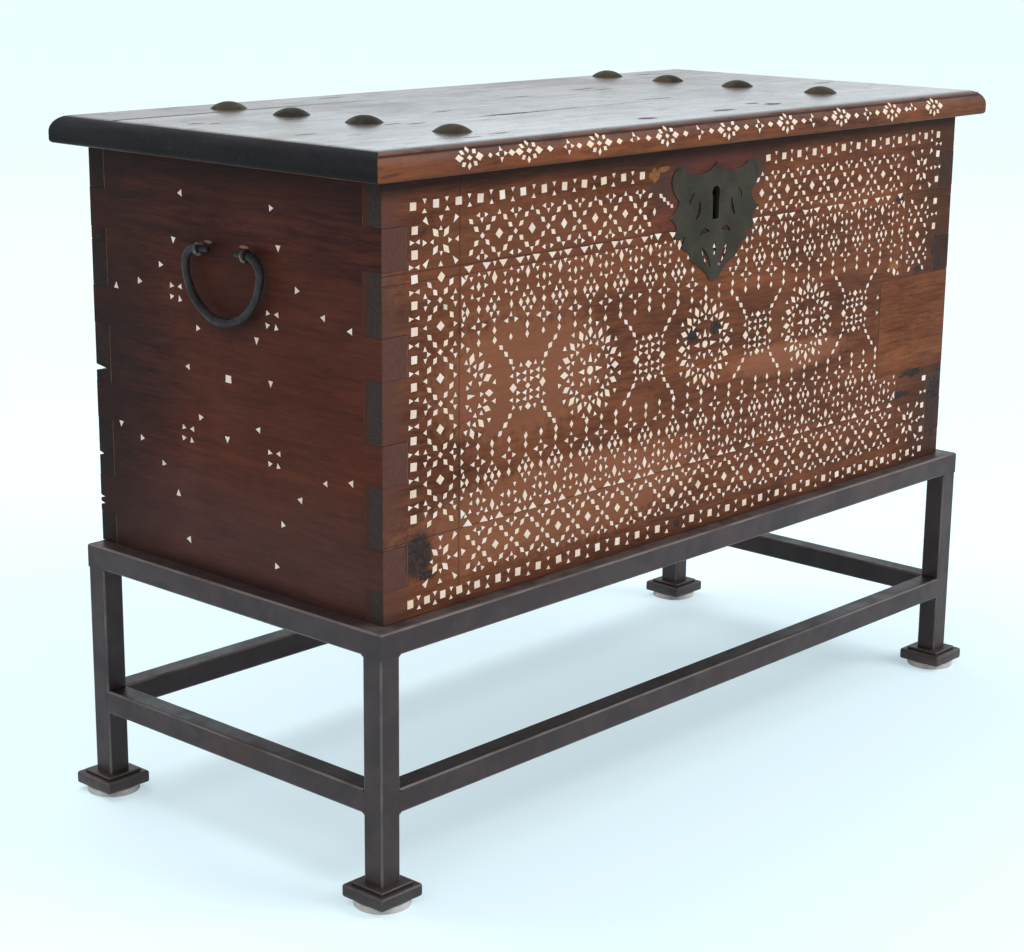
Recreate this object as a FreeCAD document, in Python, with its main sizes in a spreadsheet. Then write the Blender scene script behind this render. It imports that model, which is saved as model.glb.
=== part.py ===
import FreeCAD, Part

import math
import os
import re

import Sketcher

# A shell inlaid wooden chest on a square tube stand. Millimetres, +Z up, front faces -Y.
# The origin is the middle of the footprint, on the floor.
SIZES = {
    # stand of square tube
    "stand_end_margin": 20.0,
    "stand_front_margin": 17.0,
    "tube_size": 25.4,
    "tube_wall": 2.0,
    "tube_corner": 3.0,
    "leg_length": 228.3,
    "stretcher_rise": 69.2,
    "weld_size": 6.0,
    "weld_hollow": 1.3,
    "groove_share": 0.75,
    # feet
    "collar_size": 43.0,
    "collar_height": 3.0,
    "foot_size": 56.0,
    "foot_height": 13.0,
    "foot_corner": 3.0,
    "glide_radius": 28.0,
    "glide_height": 6.5,
    # chest walls
    "chest_length": 960.0,
    "chest_depth": 425.0,
    "chest_height": 418.0,
    "side_thickness": 25.0,
    "end_thickness": 33.0,
    "upper_board_height": 97.0,
    "finger_start": 44.0,
    "finger_height": 40.0,
    "finger_pitch": 100.4,
    "patch_length": 143.0,
    "patch_height": 115.0,
    "patch_drop": 187.0,
    "patch_depth": 8.0,
    # chest bottom, housed in the walls
    "bottom_thickness": 18.0,
    "bottom_rise": 12.0,
    "bottom_housing": 8.0,
    # lid
    "lid_thickness": 28.0,
    "lid_round": 17.0,
    "lid_under_round": 4.0,
    "lid_front_overhang": 24.0,
    "lid_back_overhang": 28.0,
    "lid_end_overhang": 27.5,
    "lid_back_board_depth": 92.0,
    # rivets of the hinge straps, with domed heads on the lid: their spacing is in shares of its depth
    "boss_radius": 19.5,
    "boss_height": 7.4,
    "boss_first_left": 0.136,
    "boss_first_right": 0.080,
    "boss_gap_back": 0.205,
    "boss_gap_middle": 0.224,
    "boss_gap_front": 0.254,
    "rivet_radius": 3.0,
    "rivet_gap": 0.1,
    # strap hinges, placed by a share of the chest's length
    "hinge_share": 0.3375,
    "strap_width": 36.0,
    "strap_thickness": 3.5,
    "strap_nose": 24.0,
    "strap_gap": 0.5,
    "knuckle_radius": 5.5,
    "knuckle_width": 14.0,
    "knuckle_gap": 0.4,
    "hinge_gap": 0.3,
    "pin_radius": 2.5,
    "pin_gap": 0.08,
    "pin_end": 1.5,
    "leaf_thickness": 3.0,
    "leaf_length": 150.0,
    # lock
    "lock_offset": 11.0,
    "lock_width": 90.0,
    "lock_height": 88.0,
    "lock_depth": 18.0,
    "lock_wall": 1.6,
    "plate_width": 157.0,
    "plate_height": 125.0,
    "plate_thickness": 1.3,
    "plate_drop": 21.5,
    "keyhole_radius": 7.0,
    "keyhole_drop": 31.5,
    "keyhole_slot_width": 11.0,
    "keyhole_slot_end": 60.0,
    "bolt_length": 44.0,
    "bolt_height": 8.0,
    "bolt_thickness": 5.4,
    "bolt_drop": 13.0,
    "bolt_gap": 0.3,
    "bolt_arm_width": 8.0,
    "bolt_arm_length": 24.0,
    "bolt_arm_offset": 18.0,
    "guide_width": 4.0,
    "guide_height": 3.0,
    "guide_inset": 9.0,
    "spring_thickness": 1.0,
    "staple_offset": 15.0,
    "staple_thickness": 5.0,
    "staple_width": 11.0,
    "staple_drop": 21.0,
    "staple_gap": 1.0,
    "staple_plate_length": 60.0,
    "staple_plate_width": 15.0,
    "staple_plate_thickness": 3.0,
    # drop handles on the ends
    "handle_drop": 86.5,
    "handle_shift": 4.5,
    "handle_standoff": 10.5,
    "handle_half_width": 54.6,
    "handle_depth": 68.2,
    "handle_corner": 17.0,
    "handle_side_radius": 35.0,
    "handle_rod_radius": 4.5,
    "handle_pin_radius": 2.9,
    "handle_pin_length": 18.0,
    "eye_spacing": 69.0,
    "eye_wire_radius": 2.0,
    "eye_gap": 0.3,
    "eye_hole_gap": 0.1,
    "eye_shank_radius": 2.2,
    "eye_clinch_length": 16.0,
    "eye_clinch_width": 5.0,
    "eye_clinch_thickness": 2.0,
}

doc = FreeCAD.newDocument("ShellInlayChest")
sheet = doc.addObject("Spreadsheet::Sheet", "Sizes")
for row, (alias, number) in enumerate(SIZES.items(), 1):
    sheet.set(f"A{row}", alias)
    sheet.set(f"B{row}", str(number))
    sheet.setAlias(f"B{row}", alias)
doc.recompute()

# Places worked out from the sizes
FOOT_REACH = "((foot_size - tube_size)/2)"
STAND_LENGTH = "(chest_length + 2*stand_end_margin)"
STAND_DEPTH = "(chest_depth + stand_front_margin)"
STAND_LEFT = f"(-{STAND_LENGTH}/2)"
STAND_RIGHT = f"({STAND_LENGTH}/2)"
STAND_FRONT = f"(-({STAND_DEPTH} + lid_back_overhang - {FOOT_REACH})/2)"
STAND_BACK = f"({STAND_FRONT} + {STAND_DEPTH})"
LEG_BOTTOM = "(glide_height + foot_height + collar_height)"
RAIL_BOTTOM = f"({LEG_BOTTOM} + leg_length)"
STRETCHER_BOTTOM = f"({LEG_BOTTOM} + stretcher_rise)"
CHEST_BOTTOM = f"({RAIL_BOTTOM} + tube_size)"
CHEST_TOP = f"({CHEST_BOTTOM} + chest_height)"
CHEST_LEFT = "(-chest_length/2)"
CHEST_BACK = STAND_BACK
CHEST_FRONT = f"({CHEST_BACK} - chest_depth)"
CHEST_MIDDLE = f"({CHEST_FRONT} + chest_depth/2)"
LID_LENGTH = "(chest_length + 2*lid_end_overhang)"
LID_FRONT = f"({CHEST_FRONT} - lid_front_overhang)"
LID_BACK = f"({CHEST_BACK} + lid_back_overhang)"
LID_DEPTH = f"({LID_BACK} - {LID_FRONT})"
LID_TOP = f"({CHEST_TOP} + lid_thickness)"
HINGE_OFFSET = "(hinge_share*chest_length)"
HINGE_Y = f"({CHEST_BACK} + knuckle_radius + hinge_gap)"
HINGE_Z = f"({CHEST_TOP} - knuckle_radius - hinge_gap)"
LOCK_BACK = f"({CHEST_FRONT} + side_thickness)"
LOCK_FRONT = f"({LOCK_BACK} - lock_depth)"
LOCK_MIDDLE = f"({LOCK_BACK} - lock_depth/2)"
STAPLE_LEFT = "(lock_offset + staple_offset - staple_thickness/2)"
BOLT_RIGHT = f"({STAPLE_LEFT} - bolt_gap)"
BOLT_LEFT = f"({BOLT_RIGHT} - bolt_length)"
BOLT_BOTTOM = f"({CHEST_TOP} - bolt_drop - bolt_height/2)"
PLATE_TOP = f"({CHEST_TOP} - plate_drop)"
KEYHOLE_Z = f"({PLATE_TOP} - keyhole_drop)"
HANDLE_Z = f"({CHEST_TOP} - handle_drop)"
HANDLE_MIDDLE = f"({CHEST_MIDDLE} - handle_shift)"
BOW_REACH = "(handle_half_width - handle_side_radius)"
BOW_DEPTH = "(handle_depth - handle_corner)"
BOW_SPARE = f"({BOW_DEPTH} - handle_side_radius)"
BOW_RISE = f"(({BOW_REACH}^2 - {BOW_SPARE}^2)/(2*{BOW_SPARE}))"
EYE_RADIUS = "(handle_pin_radius + eye_gap + eye_wire_radius)"

LEFT, RIGHT = "left", "right"
SIGN = {LEFT: "-1", RIGHT: "1"}
ALONG = {
    "x": FreeCAD.Rotation(FreeCAD.Vector(0, 1, 0), 90),
    "y": FreeCAD.Rotation(FreeCAD.Vector(1, 0, 0), -90),
    "z": FreeCAD.Rotation(),
}
UPRIGHT = FreeCAD.Rotation(FreeCAD.Vector(0, 1, 0), -90)
IN_END_PLANE = FreeCAD.Rotation(FreeCAD.Vector(1, 1, 1), 120)
SAME_PLACE = 1e-6
nodes = {}


def about_z(angle):
    return FreeCAD.Rotation(FreeCAD.Vector(0, 0, 1), angle)


def formula(text):
    """The text with each size name turned into a reference to its cell."""
    return re.sub(r"[a-z]\w*", lambda word: ("Sizes." if word[0] in SIZES else "") + word[0], str(text))


def value(text):
    return float(sheet.evalExpression(formula(text)))


def bind(item, **formulas):
    for name, text in formulas.items():
        item.setExpression(name, formula(text))


def place(item, at, turn=ALONG["z"]):
    item.Placement = FreeCAD.Placement(FreeCAD.Vector(), turn)
    for name, text in zip("xyz", at):
        item.setExpression(f"Placement.Base.{name}", formula(text))
    return item


def node(label, item):
    """Keep an object as one piece of the part under its own name."""
    item.Label = label
    nodes[label] = item
    return item


def box(name, size, at):
    item = doc.addObject("Part::Box", name)
    bind(item, Length=size[0], Width=size[1], Height=size[2])
    return place(item, at)


def cylinder(name, radius, length, at, along="z"):
    item = doc.addObject("Part::Cylinder", name)
    bind(item, Radius=radius, Height=length)
    return place(item, at, ALONG[along])


def fuse(name, items):
    item = doc.addObject("Part::MultiFuse", name)
    item.Shapes = items
    item.Refine = True
    return item


def cut(name, base, tools):
    item = doc.addObject("Part::Cut", name)
    item.Base = base
    item.Tool = tools[0] if len(tools) == 1 else fuse(name + "_tools", tools)
    item.Refine = True
    return item


def new_body(name):
    return doc.addObject("PartDesign::Body", name)


def new_sketch(body, role, name):
    """A sketch on one of the body's own origin planes."""
    plane = next(item for item in body.Origin.OriginFeatures if item.Role == role)
    sketch = body.newObject("Sketcher::SketchObject", name)
    sketch.AttachmentSupport = (plane, [""])
    sketch.MapMode = "FlatFace"
    return sketch


def rectangle(sketch, inset, width, height):
    """A rectangle whose low left corner is inset from the sketch's origin both ways."""
    first = sketch.GeometryCount
    low = value(inset)
    right, top = low + value(width), low + value(height)
    corners = [FreeCAD.Vector(*point, 0) for point in ((low, low), (right, low), (right, top), (low, top))]
    for index in range(4):
        sketch.addGeometry(Part.LineSegment(corners[index], corners[(index + 1) % 4]))
    for index in range(4):
        following = first + (index + 1) % 4
        sketch.addConstraint(Sketcher.Constraint("Coincident", first + index, 2, following, 1))
        direction = "Vertical" if index % 2 else "Horizontal"
        sketch.addConstraint(Sketcher.Constraint(direction, first + index))
    spans = [("DistanceX", first, 1, first, 2, width), ("DistanceY", first + 1, 1, first + 1, 2, height)]
    if low:
        spans += [("DistanceX", -1, 1, first, 1, inset), ("DistanceY", -1, 1, first, 1, inset)]
    else:
        sketch.addConstraint(Sketcher.Constraint("Coincident", -1, 1, first, 1))
    for kind, *ends, text in spans:
        number = sketch.addConstraint(Sketcher.Constraint(kind, *ends, value(text)))
        sketch.setExpression(f"Constraints[{number}]", formula(text))


def polygon(sketch, points):
    corners = [FreeCAD.Vector(x, y, 0) for x, y in points]
    for start, end in zip(corners, corners[1:] + corners[:1]):
        sketch.addGeometry(Part.LineSegment(start, end))


def pad(body, sketch, length):
    item = body.newObject("PartDesign::Pad", body.Name + "_pad")
    item.Profile = sketch
    bind(item, Length=length)
    doc.recompute()
    return item


def round_edges(body, radius, wanted):
    """Round the edges of the body's last feature for which wanted(edge) is true."""
    base = body.Tip
    names = [f"Edge{index}" for index, edge in enumerate(base.Shape.Edges, 1) if wanted(edge)]
    item = body.newObject("PartDesign::Fillet", body.Name + "_round")
    item.Base = (base, names)
    bind(item, Radius=radius)
    doc.recompute()


def tube(label, length, at, turn, mitred=False):
    """A square tube along its own X axis, outer face at y = 0, with mitred ends where asked."""
    body = new_body(label)
    section = new_sketch(body, "YZ_Plane", label + "_section")
    rectangle(section, "0", "tube_size", "tube_size")
    rectangle(section, "tube_wall", "tube_size - 2*tube_wall", "tube_size - 2*tube_wall")
    pad(body, section, length)
    size, run = value("tube_size"), value(length)
    outer = (0.0, size)

    def is_outer_corner(edge):
        ends = [vertex.Point for vertex in edge.Vertexes]
        offsets = [offset for point in ends for offset in (point.y, point.z)]
        on_corner = all(any(abs(offset - side) < SAME_PLACE for side in outer) for offset in offsets)
        return on_corner and abs(edge.Length - run) < SAME_PLACE

    round_edges(body, "tube_corner", is_outer_corner)
    if mitred:
        ends = new_sketch(body, "XY_Plane", label + "_mitres")
        polygon(ends, [(0, 0), (size, size), (0, size)])
        polygon(ends, [(run, 0), (run, size), (run - size, size)])
        pocket = body.newObject("PartDesign::Pocket", label + "_mitre_cut")
        pocket.Profile = ends
        pocket.Type = "ThroughAll"
        pocket.Reversed = True
    node(label, place(body, at, turn))


def stand_frame():
    """Legs, mitred top rails, and stretchers between the legs."""
    inner_length, inner_depth = f"{STAND_LENGTH} - 2*tube_size", f"{STAND_DEPTH} - 2*tube_size"
    sides = [
        ("front", STAND_LENGTH, inner_length, STAND_LEFT, STAND_FRONT, 0),
        ("back", STAND_LENGTH, inner_length, STAND_RIGHT, STAND_BACK, 180),
        ("left", STAND_DEPTH, inner_depth, STAND_LEFT, STAND_BACK, -90),
        ("right", STAND_DEPTH, inner_depth, STAND_RIGHT, STAND_FRONT, 90),
    ]
    inset = {
        0: ("tube_size", "0"),
        180: ("-tube_size", "0"),
        -90: ("0", "-tube_size"),
        90: ("0", "tube_size"),
    }
    for side, outer, inner, x, y, angle in sides:
        tube(f"top_rail_{side}", outer, (x, y, RAIL_BOTTOM), about_z(angle), mitred=True)
        shift_x, shift_y = inset[angle]
        start = (f"{x} + {shift_x}", f"{y} + {shift_y}", STRETCHER_BOTTOM)
        tube(f"stretcher_{side}", inner, start, about_z(angle))
    for name, (x, y) in leg_corners().items():
        tube(f"leg_{name}", "leg_length", (f"{x} + tube_size", y, LEG_BOTTOM), UPRIGHT)


def leg_corners():
    """Low corner of each leg's square section."""
    columns = {"left": STAND_LEFT, "right": f"({STAND_RIGHT} - tube_size)"}
    rows = {"front": STAND_FRONT, "back": f"({STAND_BACK} - tube_size)"}
    return {f"{row}_{column}": (x, y) for row, y in rows.items() for column, x in columns.items()}


def feet():
    """Under each leg a collar plate, a foot plate and a round glide."""
    for name, (x, y) in leg_corners().items():
        middle = (f"{x} + tube_size/2", f"{y} + tube_size/2")

        def square(size, z):
            return (f"{middle[0]} - {size}/2", f"{middle[1]} - {size}/2", z)

        collar_size = ("collar_size", "collar_size", "collar_height")
        collar_at = square("collar_size", "glide_height + foot_height")
        node(f"foot_collar_{name}", box("collar", collar_size, collar_at))
        body = new_body(f"foot_{name}")
        outline = new_sketch(body, "XY_Plane", "foot_outline")
        rectangle(outline, "0", "foot_size", "foot_size")
        pad(body, outline, "foot_height")
        height = value("foot_height")
        upright = lambda edge: abs(edge.Vertexes[0].Z - edge.Vertexes[-1].Z) > height/2
        round_edges(body, "foot_corner", upright)
        node(f"foot_plate_{name}", place(body, square("foot_size", "glide_height")))
        glide = cylinder("glide", "glide_radius", "glide_height", (*middle, "0"))
        node(f"glide_pad_{name}", glide)


def cove(name, size, axis, radius, length, at, turn):
    """A strip with two flat sides at right angles and a hollow third, along its own Z axis."""
    block = box(name + "_block", (size, size, length), ("0", "0", "0"))
    hollow = cylinder(name + "_hollow", radius, length, (axis, axis, "0"))
    return place(cut(name, block, [hollow]), at, turn)


def groove_fill(name, length, at, turn):
    """Weld metal, ground flush, in the groove beside a tube's rounded corner."""
    return cove(name, "groove_share*tube_corner", "tube_corner", "tube_corner", length, at, turn)


def flush_welds(row, column, x, y):
    """Filled grooves of one leg: along the two rails on it, and beside the stretchers' ends."""
    along_front = IN_END_PLANE * about_z(0 if row == "front" else 90)
    along_side = IN_END_PLANE * IN_END_PLANE * about_z(0 if column == "left" else -90)
    face_y = y if row == "front" else f"{y} + tube_size"
    face_x = x if column == "left" else f"{x} + tube_size"
    under_rails = [
        groove_fill("rail_weld", "tube_size", (x, face_y, RAIL_BOTTOM), along_front),
        groove_fill("rail_weld", "tube_size", (face_x, y, RAIL_BOTTOM), along_side),
    ]
    welds = [fuse("rail_welds", under_rails)]
    corners = [("left", "front", 0), ("right", "front", 90), ("right", "back", 180), ("left", "back", 270)]
    for side, end, angle in corners:
        if (side, end) != (column, row):
            at = (x if side == "left" else f"{x} + tube_size", y if end == "front" else f"{y} + tube_size",
                  f"{STRETCHER_BOTTOM} + tube_corner")
            welds.append(groove_fill("stretcher_weld", "tube_size - 2*tube_corner", at, about_z(angle)))
    return welds


def weld_beads():
    """Hollow beads under the rails and stretchers, where they meet the legs, and filled grooves."""
    beads = []
    width = "tube_size - 2*tube_corner"
    axis = "weld_hollow*weld_size"
    radius = "weld_size*sqrt(weld_hollow^2 + (weld_hollow - 1)^2)"
    for name, (x, y) in leg_corners().items():
        row, column = name.split("_")
        inner_x = f"{x} + tube_size" if column == "left" else x
        inner_y = f"{y} + tube_size" if row == "front" else y
        along_rail = ALONG["y"] * about_z(0 if column == "left" else 90)
        across_rail = ALONG["x"] * about_z(0 if row == "front" else -90)
        for z in (RAIL_BOTTOM, STRETCHER_BOTTOM):
            starts = [
                ((inner_x, f"{y} + tube_corner", z), along_rail),
                ((f"{x} + tube_corner", inner_y, z), across_rail),
            ]
            for at, turn in starts:
                beads.append(cove("bead", "weld_size", axis, radius, width, at, turn))
        beads += flush_welds(row, column, x, y)
    group = doc.addObject("Part::Compound", "weld_bead_group")
    group.Links = beads
    node("weld_beads", group)


def finger_bottoms():
    """Undersides of the end boards' fingers, from the top down."""
    room = value("chest_height - finger_start - finger_height")
    count = int(room // value("finger_pitch")) + 1
    first = f"{CHEST_TOP} - finger_start - finger_height"
    return [f"({first} - {index}*finger_pitch)" for index in range(count)]


def end_fingers(side, y):
    """The fingers of one end board that pass through the front or back."""
    x = CHEST_LEFT if side == LEFT else "(chest_length/2 - end_thickness)"
    size = ("end_thickness", "side_thickness", "finger_height")
    return [box("finger", size, (x, y, z)) for z in finger_bottoms()]


def patch_box(name):
    at = ("chest_length/2 - patch_length", CHEST_FRONT, f"{CHEST_TOP} - patch_drop - patch_height")
    return box(name, ("patch_length", "patch_depth", "patch_height"), at)


def bottom_panel(name, share="1", start="0"):
    """The bottom, or a share of its depth, reaching into its housing in the walls."""
    reach = "(end_thickness - bottom_housing)"
    depth = "(chest_depth - 2*side_thickness + 2*bottom_housing)"
    y = f"{CHEST_FRONT} + side_thickness - bottom_housing + {start}*{depth}"
    size = (f"chest_length - 2*{reach}", f"{share}*{depth}", "bottom_thickness")
    return box(name, size, (f"{CHEST_LEFT} + {reach}", y, f"{CHEST_BOTTOM} + bottom_rise"))


def long_wall(wall, y, upper_tools, lower_tools):
    """Two boards, one above the other, slotted for the fingers of both ends."""
    slots = end_fingers(LEFT, y) + end_fingers(RIGHT, y)
    seam = f"({CHEST_TOP} - upper_board_height)"
    lower_height = "chest_height - upper_board_height"
    boards = [
        ("upper", "upper_board_height", seam, upper_tools),
        ("lower", lower_height, CHEST_BOTTOM, lower_tools),
    ]
    for name, height, z, tools in boards:
        label = f"{wall}_{name}_board"
        blank = box(label + "_blank", ("chest_length", "side_thickness", height), (CHEST_LEFT, y, z))
        node(label, cut(label + "_cut", blank, slots + tools))


def end_wall(side, tools):
    """One end: a board with comb fingers at both edges, drilled for the handle's eyes."""
    x = CHEST_LEFT if side == LEFT else "(chest_length/2 - end_thickness)"
    inner = f"({CHEST_FRONT} + side_thickness)"
    core_size = ("end_thickness", "chest_depth - 2*side_thickness", "chest_height")
    core = box("end_core", core_size, (x, inner, CHEST_BOTTOM))
    fingers = end_fingers(side, CHEST_FRONT) + end_fingers(side, f"({CHEST_BACK} - side_thickness)")
    blank = fuse(f"{side}_end_blank", [core] + fingers)
    hole = "eye_shank_radius + eye_hole_gap"
    holes = [cylinder("eye_hole", hole, "end_thickness", (x, y, HANDLE_Z), "x") for y in eye_rows()]
    node(f"{side}_end_board", cut(f"{side}_end_cut", blank, holes + tools))


def chest_walls():
    housing = bottom_panel("bottom_housing_cut")
    notch_size = ("strap_width + 2*strap_gap", "side_thickness", "strap_thickness + strap_gap")
    back = f"({CHEST_BACK} - side_thickness)"
    notches = [
        box("strap_notch", notch_size, (f"{SIGN[side]}*{HINGE_OFFSET} - strap_width/2 - strap_gap", back,
                                        f"{CHEST_TOP} - strap_thickness - strap_gap"))
        for side in SIGN
    ]
    patch_recess = patch_box("patch_recess")
    long_wall("front", CHEST_FRONT, [lock_case_box("lock_recess"), *keyhole_cut()], [housing, patch_recess])
    long_wall("back", back, notches, [housing])
    end_wall(LEFT, [housing])
    end_wall(RIGHT, [housing, patch_recess])
    node("front_patch", patch_box("patch"))
    node("bottom_front_board", bottom_panel("bottom_front", "0.5"))
    node("bottom_back_board", bottom_panel("bottom_back", "0.5", "0.5"))


def boss_places(side):
    """Middles of one strap's rivets, from the back to the front."""
    steps = [f"boss_first_{side}", "boss_gap_back", "boss_gap_middle", "boss_gap_front"]
    x = f"{SIGN[side]}*{HINGE_OFFSET}"
    shares = ["(" + " + ".join(steps[:count]) + ")" for count in range(1, len(steps) + 1)]
    return [(x, f"{LID_BACK} - {share}*{LID_DEPTH}") for share in shares]


def rivet_holes(z, length):
    radius = "rivet_radius + rivet_gap"
    return [cylinder("rivet_hole", radius, length, (*at, z)) for side in SIGN for at in boss_places(side)]


def lid_board(label, depth, at, turn, tools):
    """A lid board whose front edge and ends are rounded, more on top than below, in its own frame."""
    body = new_body(label + "_blank")
    outline = new_sketch(body, "XY_Plane", label + "_outline")
    rectangle(outline, "0", LID_LENGTH, depth)
    pad(body, outline, "lid_thickness")
    top, back = value("lid_thickness"), value(depth)

    def is_outer_edge(edge, height):
        ends = [vertex.Point for vertex in edge.Vertexes]
        on_seam = all(abs(point.y - back) < SAME_PLACE for point in ends)
        return all(abs(point.z - height) < SAME_PLACE for point in ends) and not on_seam

    round_edges(body, "lid_round", lambda edge: is_outer_edge(edge, top))
    round_edges(body, "lid_under_round", lambda edge: is_outer_edge(edge, 0))
    place(body, at, turn)
    node(label, cut(label + "_cut", body, tools))


def lid():
    holes = rivet_holes(CHEST_TOP, "lid_thickness")
    front_depth = f"({LID_DEPTH} - lid_back_board_depth)"
    front_at = (f"-{LID_LENGTH}/2", LID_FRONT, CHEST_TOP)
    back_at = (f"{LID_LENGTH}/2", LID_BACK, CHEST_TOP)
    front_tools = holes + [staple_plate("staple_recess")]
    lid_board("lid_front_board", front_depth, front_at, about_z(0), front_tools)
    lid_board("lid_back_board", "lid_back_board_depth", back_at, about_z(180), holes)
    for side in SIGN:
        for number, at in enumerate(boss_places(side), 1):
            lid_boss(f"lid_boss_{side}_{number}", at)


def lid_boss(label, at):
    """A domed rivet head on the lid, with its shank through the lid and the strap."""
    ball = "((boss_radius^2 + boss_height^2)/(2*boss_height))"
    dome = doc.addObject("Part::Sphere", "dome")
    bind(dome, Radius=ball, Angle1=f"asin(1 - boss_height/{ball})")
    place(dome, (*at, f"{LID_TOP} + boss_height - {ball}"))
    foot = f"{CHEST_TOP} - strap_thickness"
    shank = cylinder("shank", "rivet_radius", "lid_thickness + strap_thickness", (*at, foot))
    node(label, fuse(label + "_solid", [dome, shank]))


def strap_hinge(side):
    """A strap under the lid, a leaf on the back of the chest, and the pin that joins them."""
    middle = f"({SIGN[side]}*{HINGE_OFFSET})"
    edge = f"({middle} - strap_width/2)"
    tongue = f"({middle} - knuckle_width/2)"
    nose = f"({boss_places(side)[-1][1]} - strap_nose + strap_width/2)"
    low = f"({CHEST_TOP} - strap_thickness)"
    bore = cylinder("pin_bore", "pin_radius + pin_gap", "strap_width", (edge, HINGE_Y, HINGE_Z), "x")

    plate_size = ("strap_width", f"{CHEST_BACK} - {nose}", "strap_thickness")
    plate = box("strap_plate", plate_size, (edge, nose, low))
    round_nose = cylinder("strap_nose_end", "strap_width/2", "strap_thickness", (middle, nose, low))
    neck_size = ("knuckle_width", f"{HINGE_Y} - {CHEST_BACK}", "strap_thickness")
    neck = box("strap_neck", neck_size, (tongue, CHEST_BACK, low))
    knuckle = cylinder("strap_knuckle", "knuckle_radius", "knuckle_width", (tongue, HINGE_Y, HINGE_Z), "x")
    strap = fuse(f"strap_{side}_blank", [plate, round_nose, neck, knuckle])
    holes = [
        cylinder("strap_hole", "rivet_radius + rivet_gap", "strap_thickness", (*at, low))
        for at in boss_places(side)
    ]
    node(f"lid_strap_{side}", cut(f"strap_{side}_cut", strap, holes + [bore]))

    foot = f"({CHEST_TOP} - leaf_length + strap_width/2)"
    leaf_size = ("strap_width", "leaf_thickness", f"{HINGE_Z} - {foot}")
    leaf_plate = box("leaf_plate", leaf_size, (edge, CHEST_BACK, foot))
    leaf_end = cylinder("leaf_end", "strap_width/2", "leaf_thickness", (middle, CHEST_BACK, foot), "y")
    outer_width = "(strap_width/2 - knuckle_width/2 - knuckle_gap)"
    outer_starts = [edge, f"({middle} + knuckle_width/2 + knuckle_gap)"]
    outer = [
        cylinder("leaf_knuckle", "knuckle_radius", outer_width, (x, HINGE_Y, HINGE_Z), "x")
        for x in outer_starts
    ]
    clear_size = ("knuckle_width + 2*knuckle_gap", "knuckle_radius", "knuckle_radius + hinge_gap")
    clear_at = (f"{tongue} - knuckle_gap", CHEST_BACK, f"{HINGE_Z} - knuckle_radius - hinge_gap")
    clear = box("leaf_clear", clear_size, clear_at)
    flat = cut(f"leaf_{side}_plate", fuse("leaf_flat", [leaf_plate, leaf_end]), [clear])
    leaf = fuse(f"leaf_{side}_blank", [flat] + outer)
    node(f"back_leaf_{side}", cut(f"leaf_{side}_cut", leaf, [bore]))
    pin_at = (f"{edge} - pin_end", HINGE_Y, HINGE_Z)
    node(f"hinge_pin_{side}", cylinder("hinge_pin", "pin_radius", "strap_width + 2*pin_end", pin_at, "x"))


def lock_case_box(name, wall="0"):
    """The lock's case, or the room inside its walls."""
    size = (f"lock_width - 2*{wall}", f"lock_depth - 2*{wall}", f"lock_height - 2*{wall}")
    corner = (f"lock_offset - lock_width/2 + {wall}", f"{LOCK_FRONT} + {wall}",
              f"{CHEST_TOP} - lock_height + {wall}")
    return box(name, size, corner)


def keyhole_cut():
    """The keyhole through the front and the case's front wall."""
    length = f"{LOCK_FRONT} + lock_wall - {CHEST_FRONT}"
    slot_size = ("keyhole_slot_width", length, "keyhole_slot_end - keyhole_drop")
    slot_at = ("lock_offset - keyhole_slot_width/2", CHEST_FRONT, f"{PLATE_TOP} - keyhole_slot_end")
    eye = cylinder("keyhole_eye", "keyhole_radius", length, ("lock_offset", CHEST_FRONT, KEYHOLE_Z), "y")
    return [eye, box("keyhole_slot", slot_size, slot_at)]


def staple_plate(name):
    size = ("staple_plate_length", "staple_plate_width", "staple_plate_thickness")
    x = "lock_offset + staple_offset - staple_plate_length/2"
    return box(name, size, (x, f"{LOCK_MIDDLE} - staple_plate_width/2", CHEST_TOP))


def bolt_way(name, gap):
    """The bolt's section, widened by a gap, through the staple."""
    size = ("staple_thickness", f"bolt_thickness + 2*{gap}", f"bolt_height + 2*{gap}")
    y = f"{LOCK_MIDDLE} - bolt_thickness/2 - {gap}"
    return box(name, size, (STAPLE_LEFT, y, f"{BOLT_BOTTOM} - {gap}"))


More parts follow.
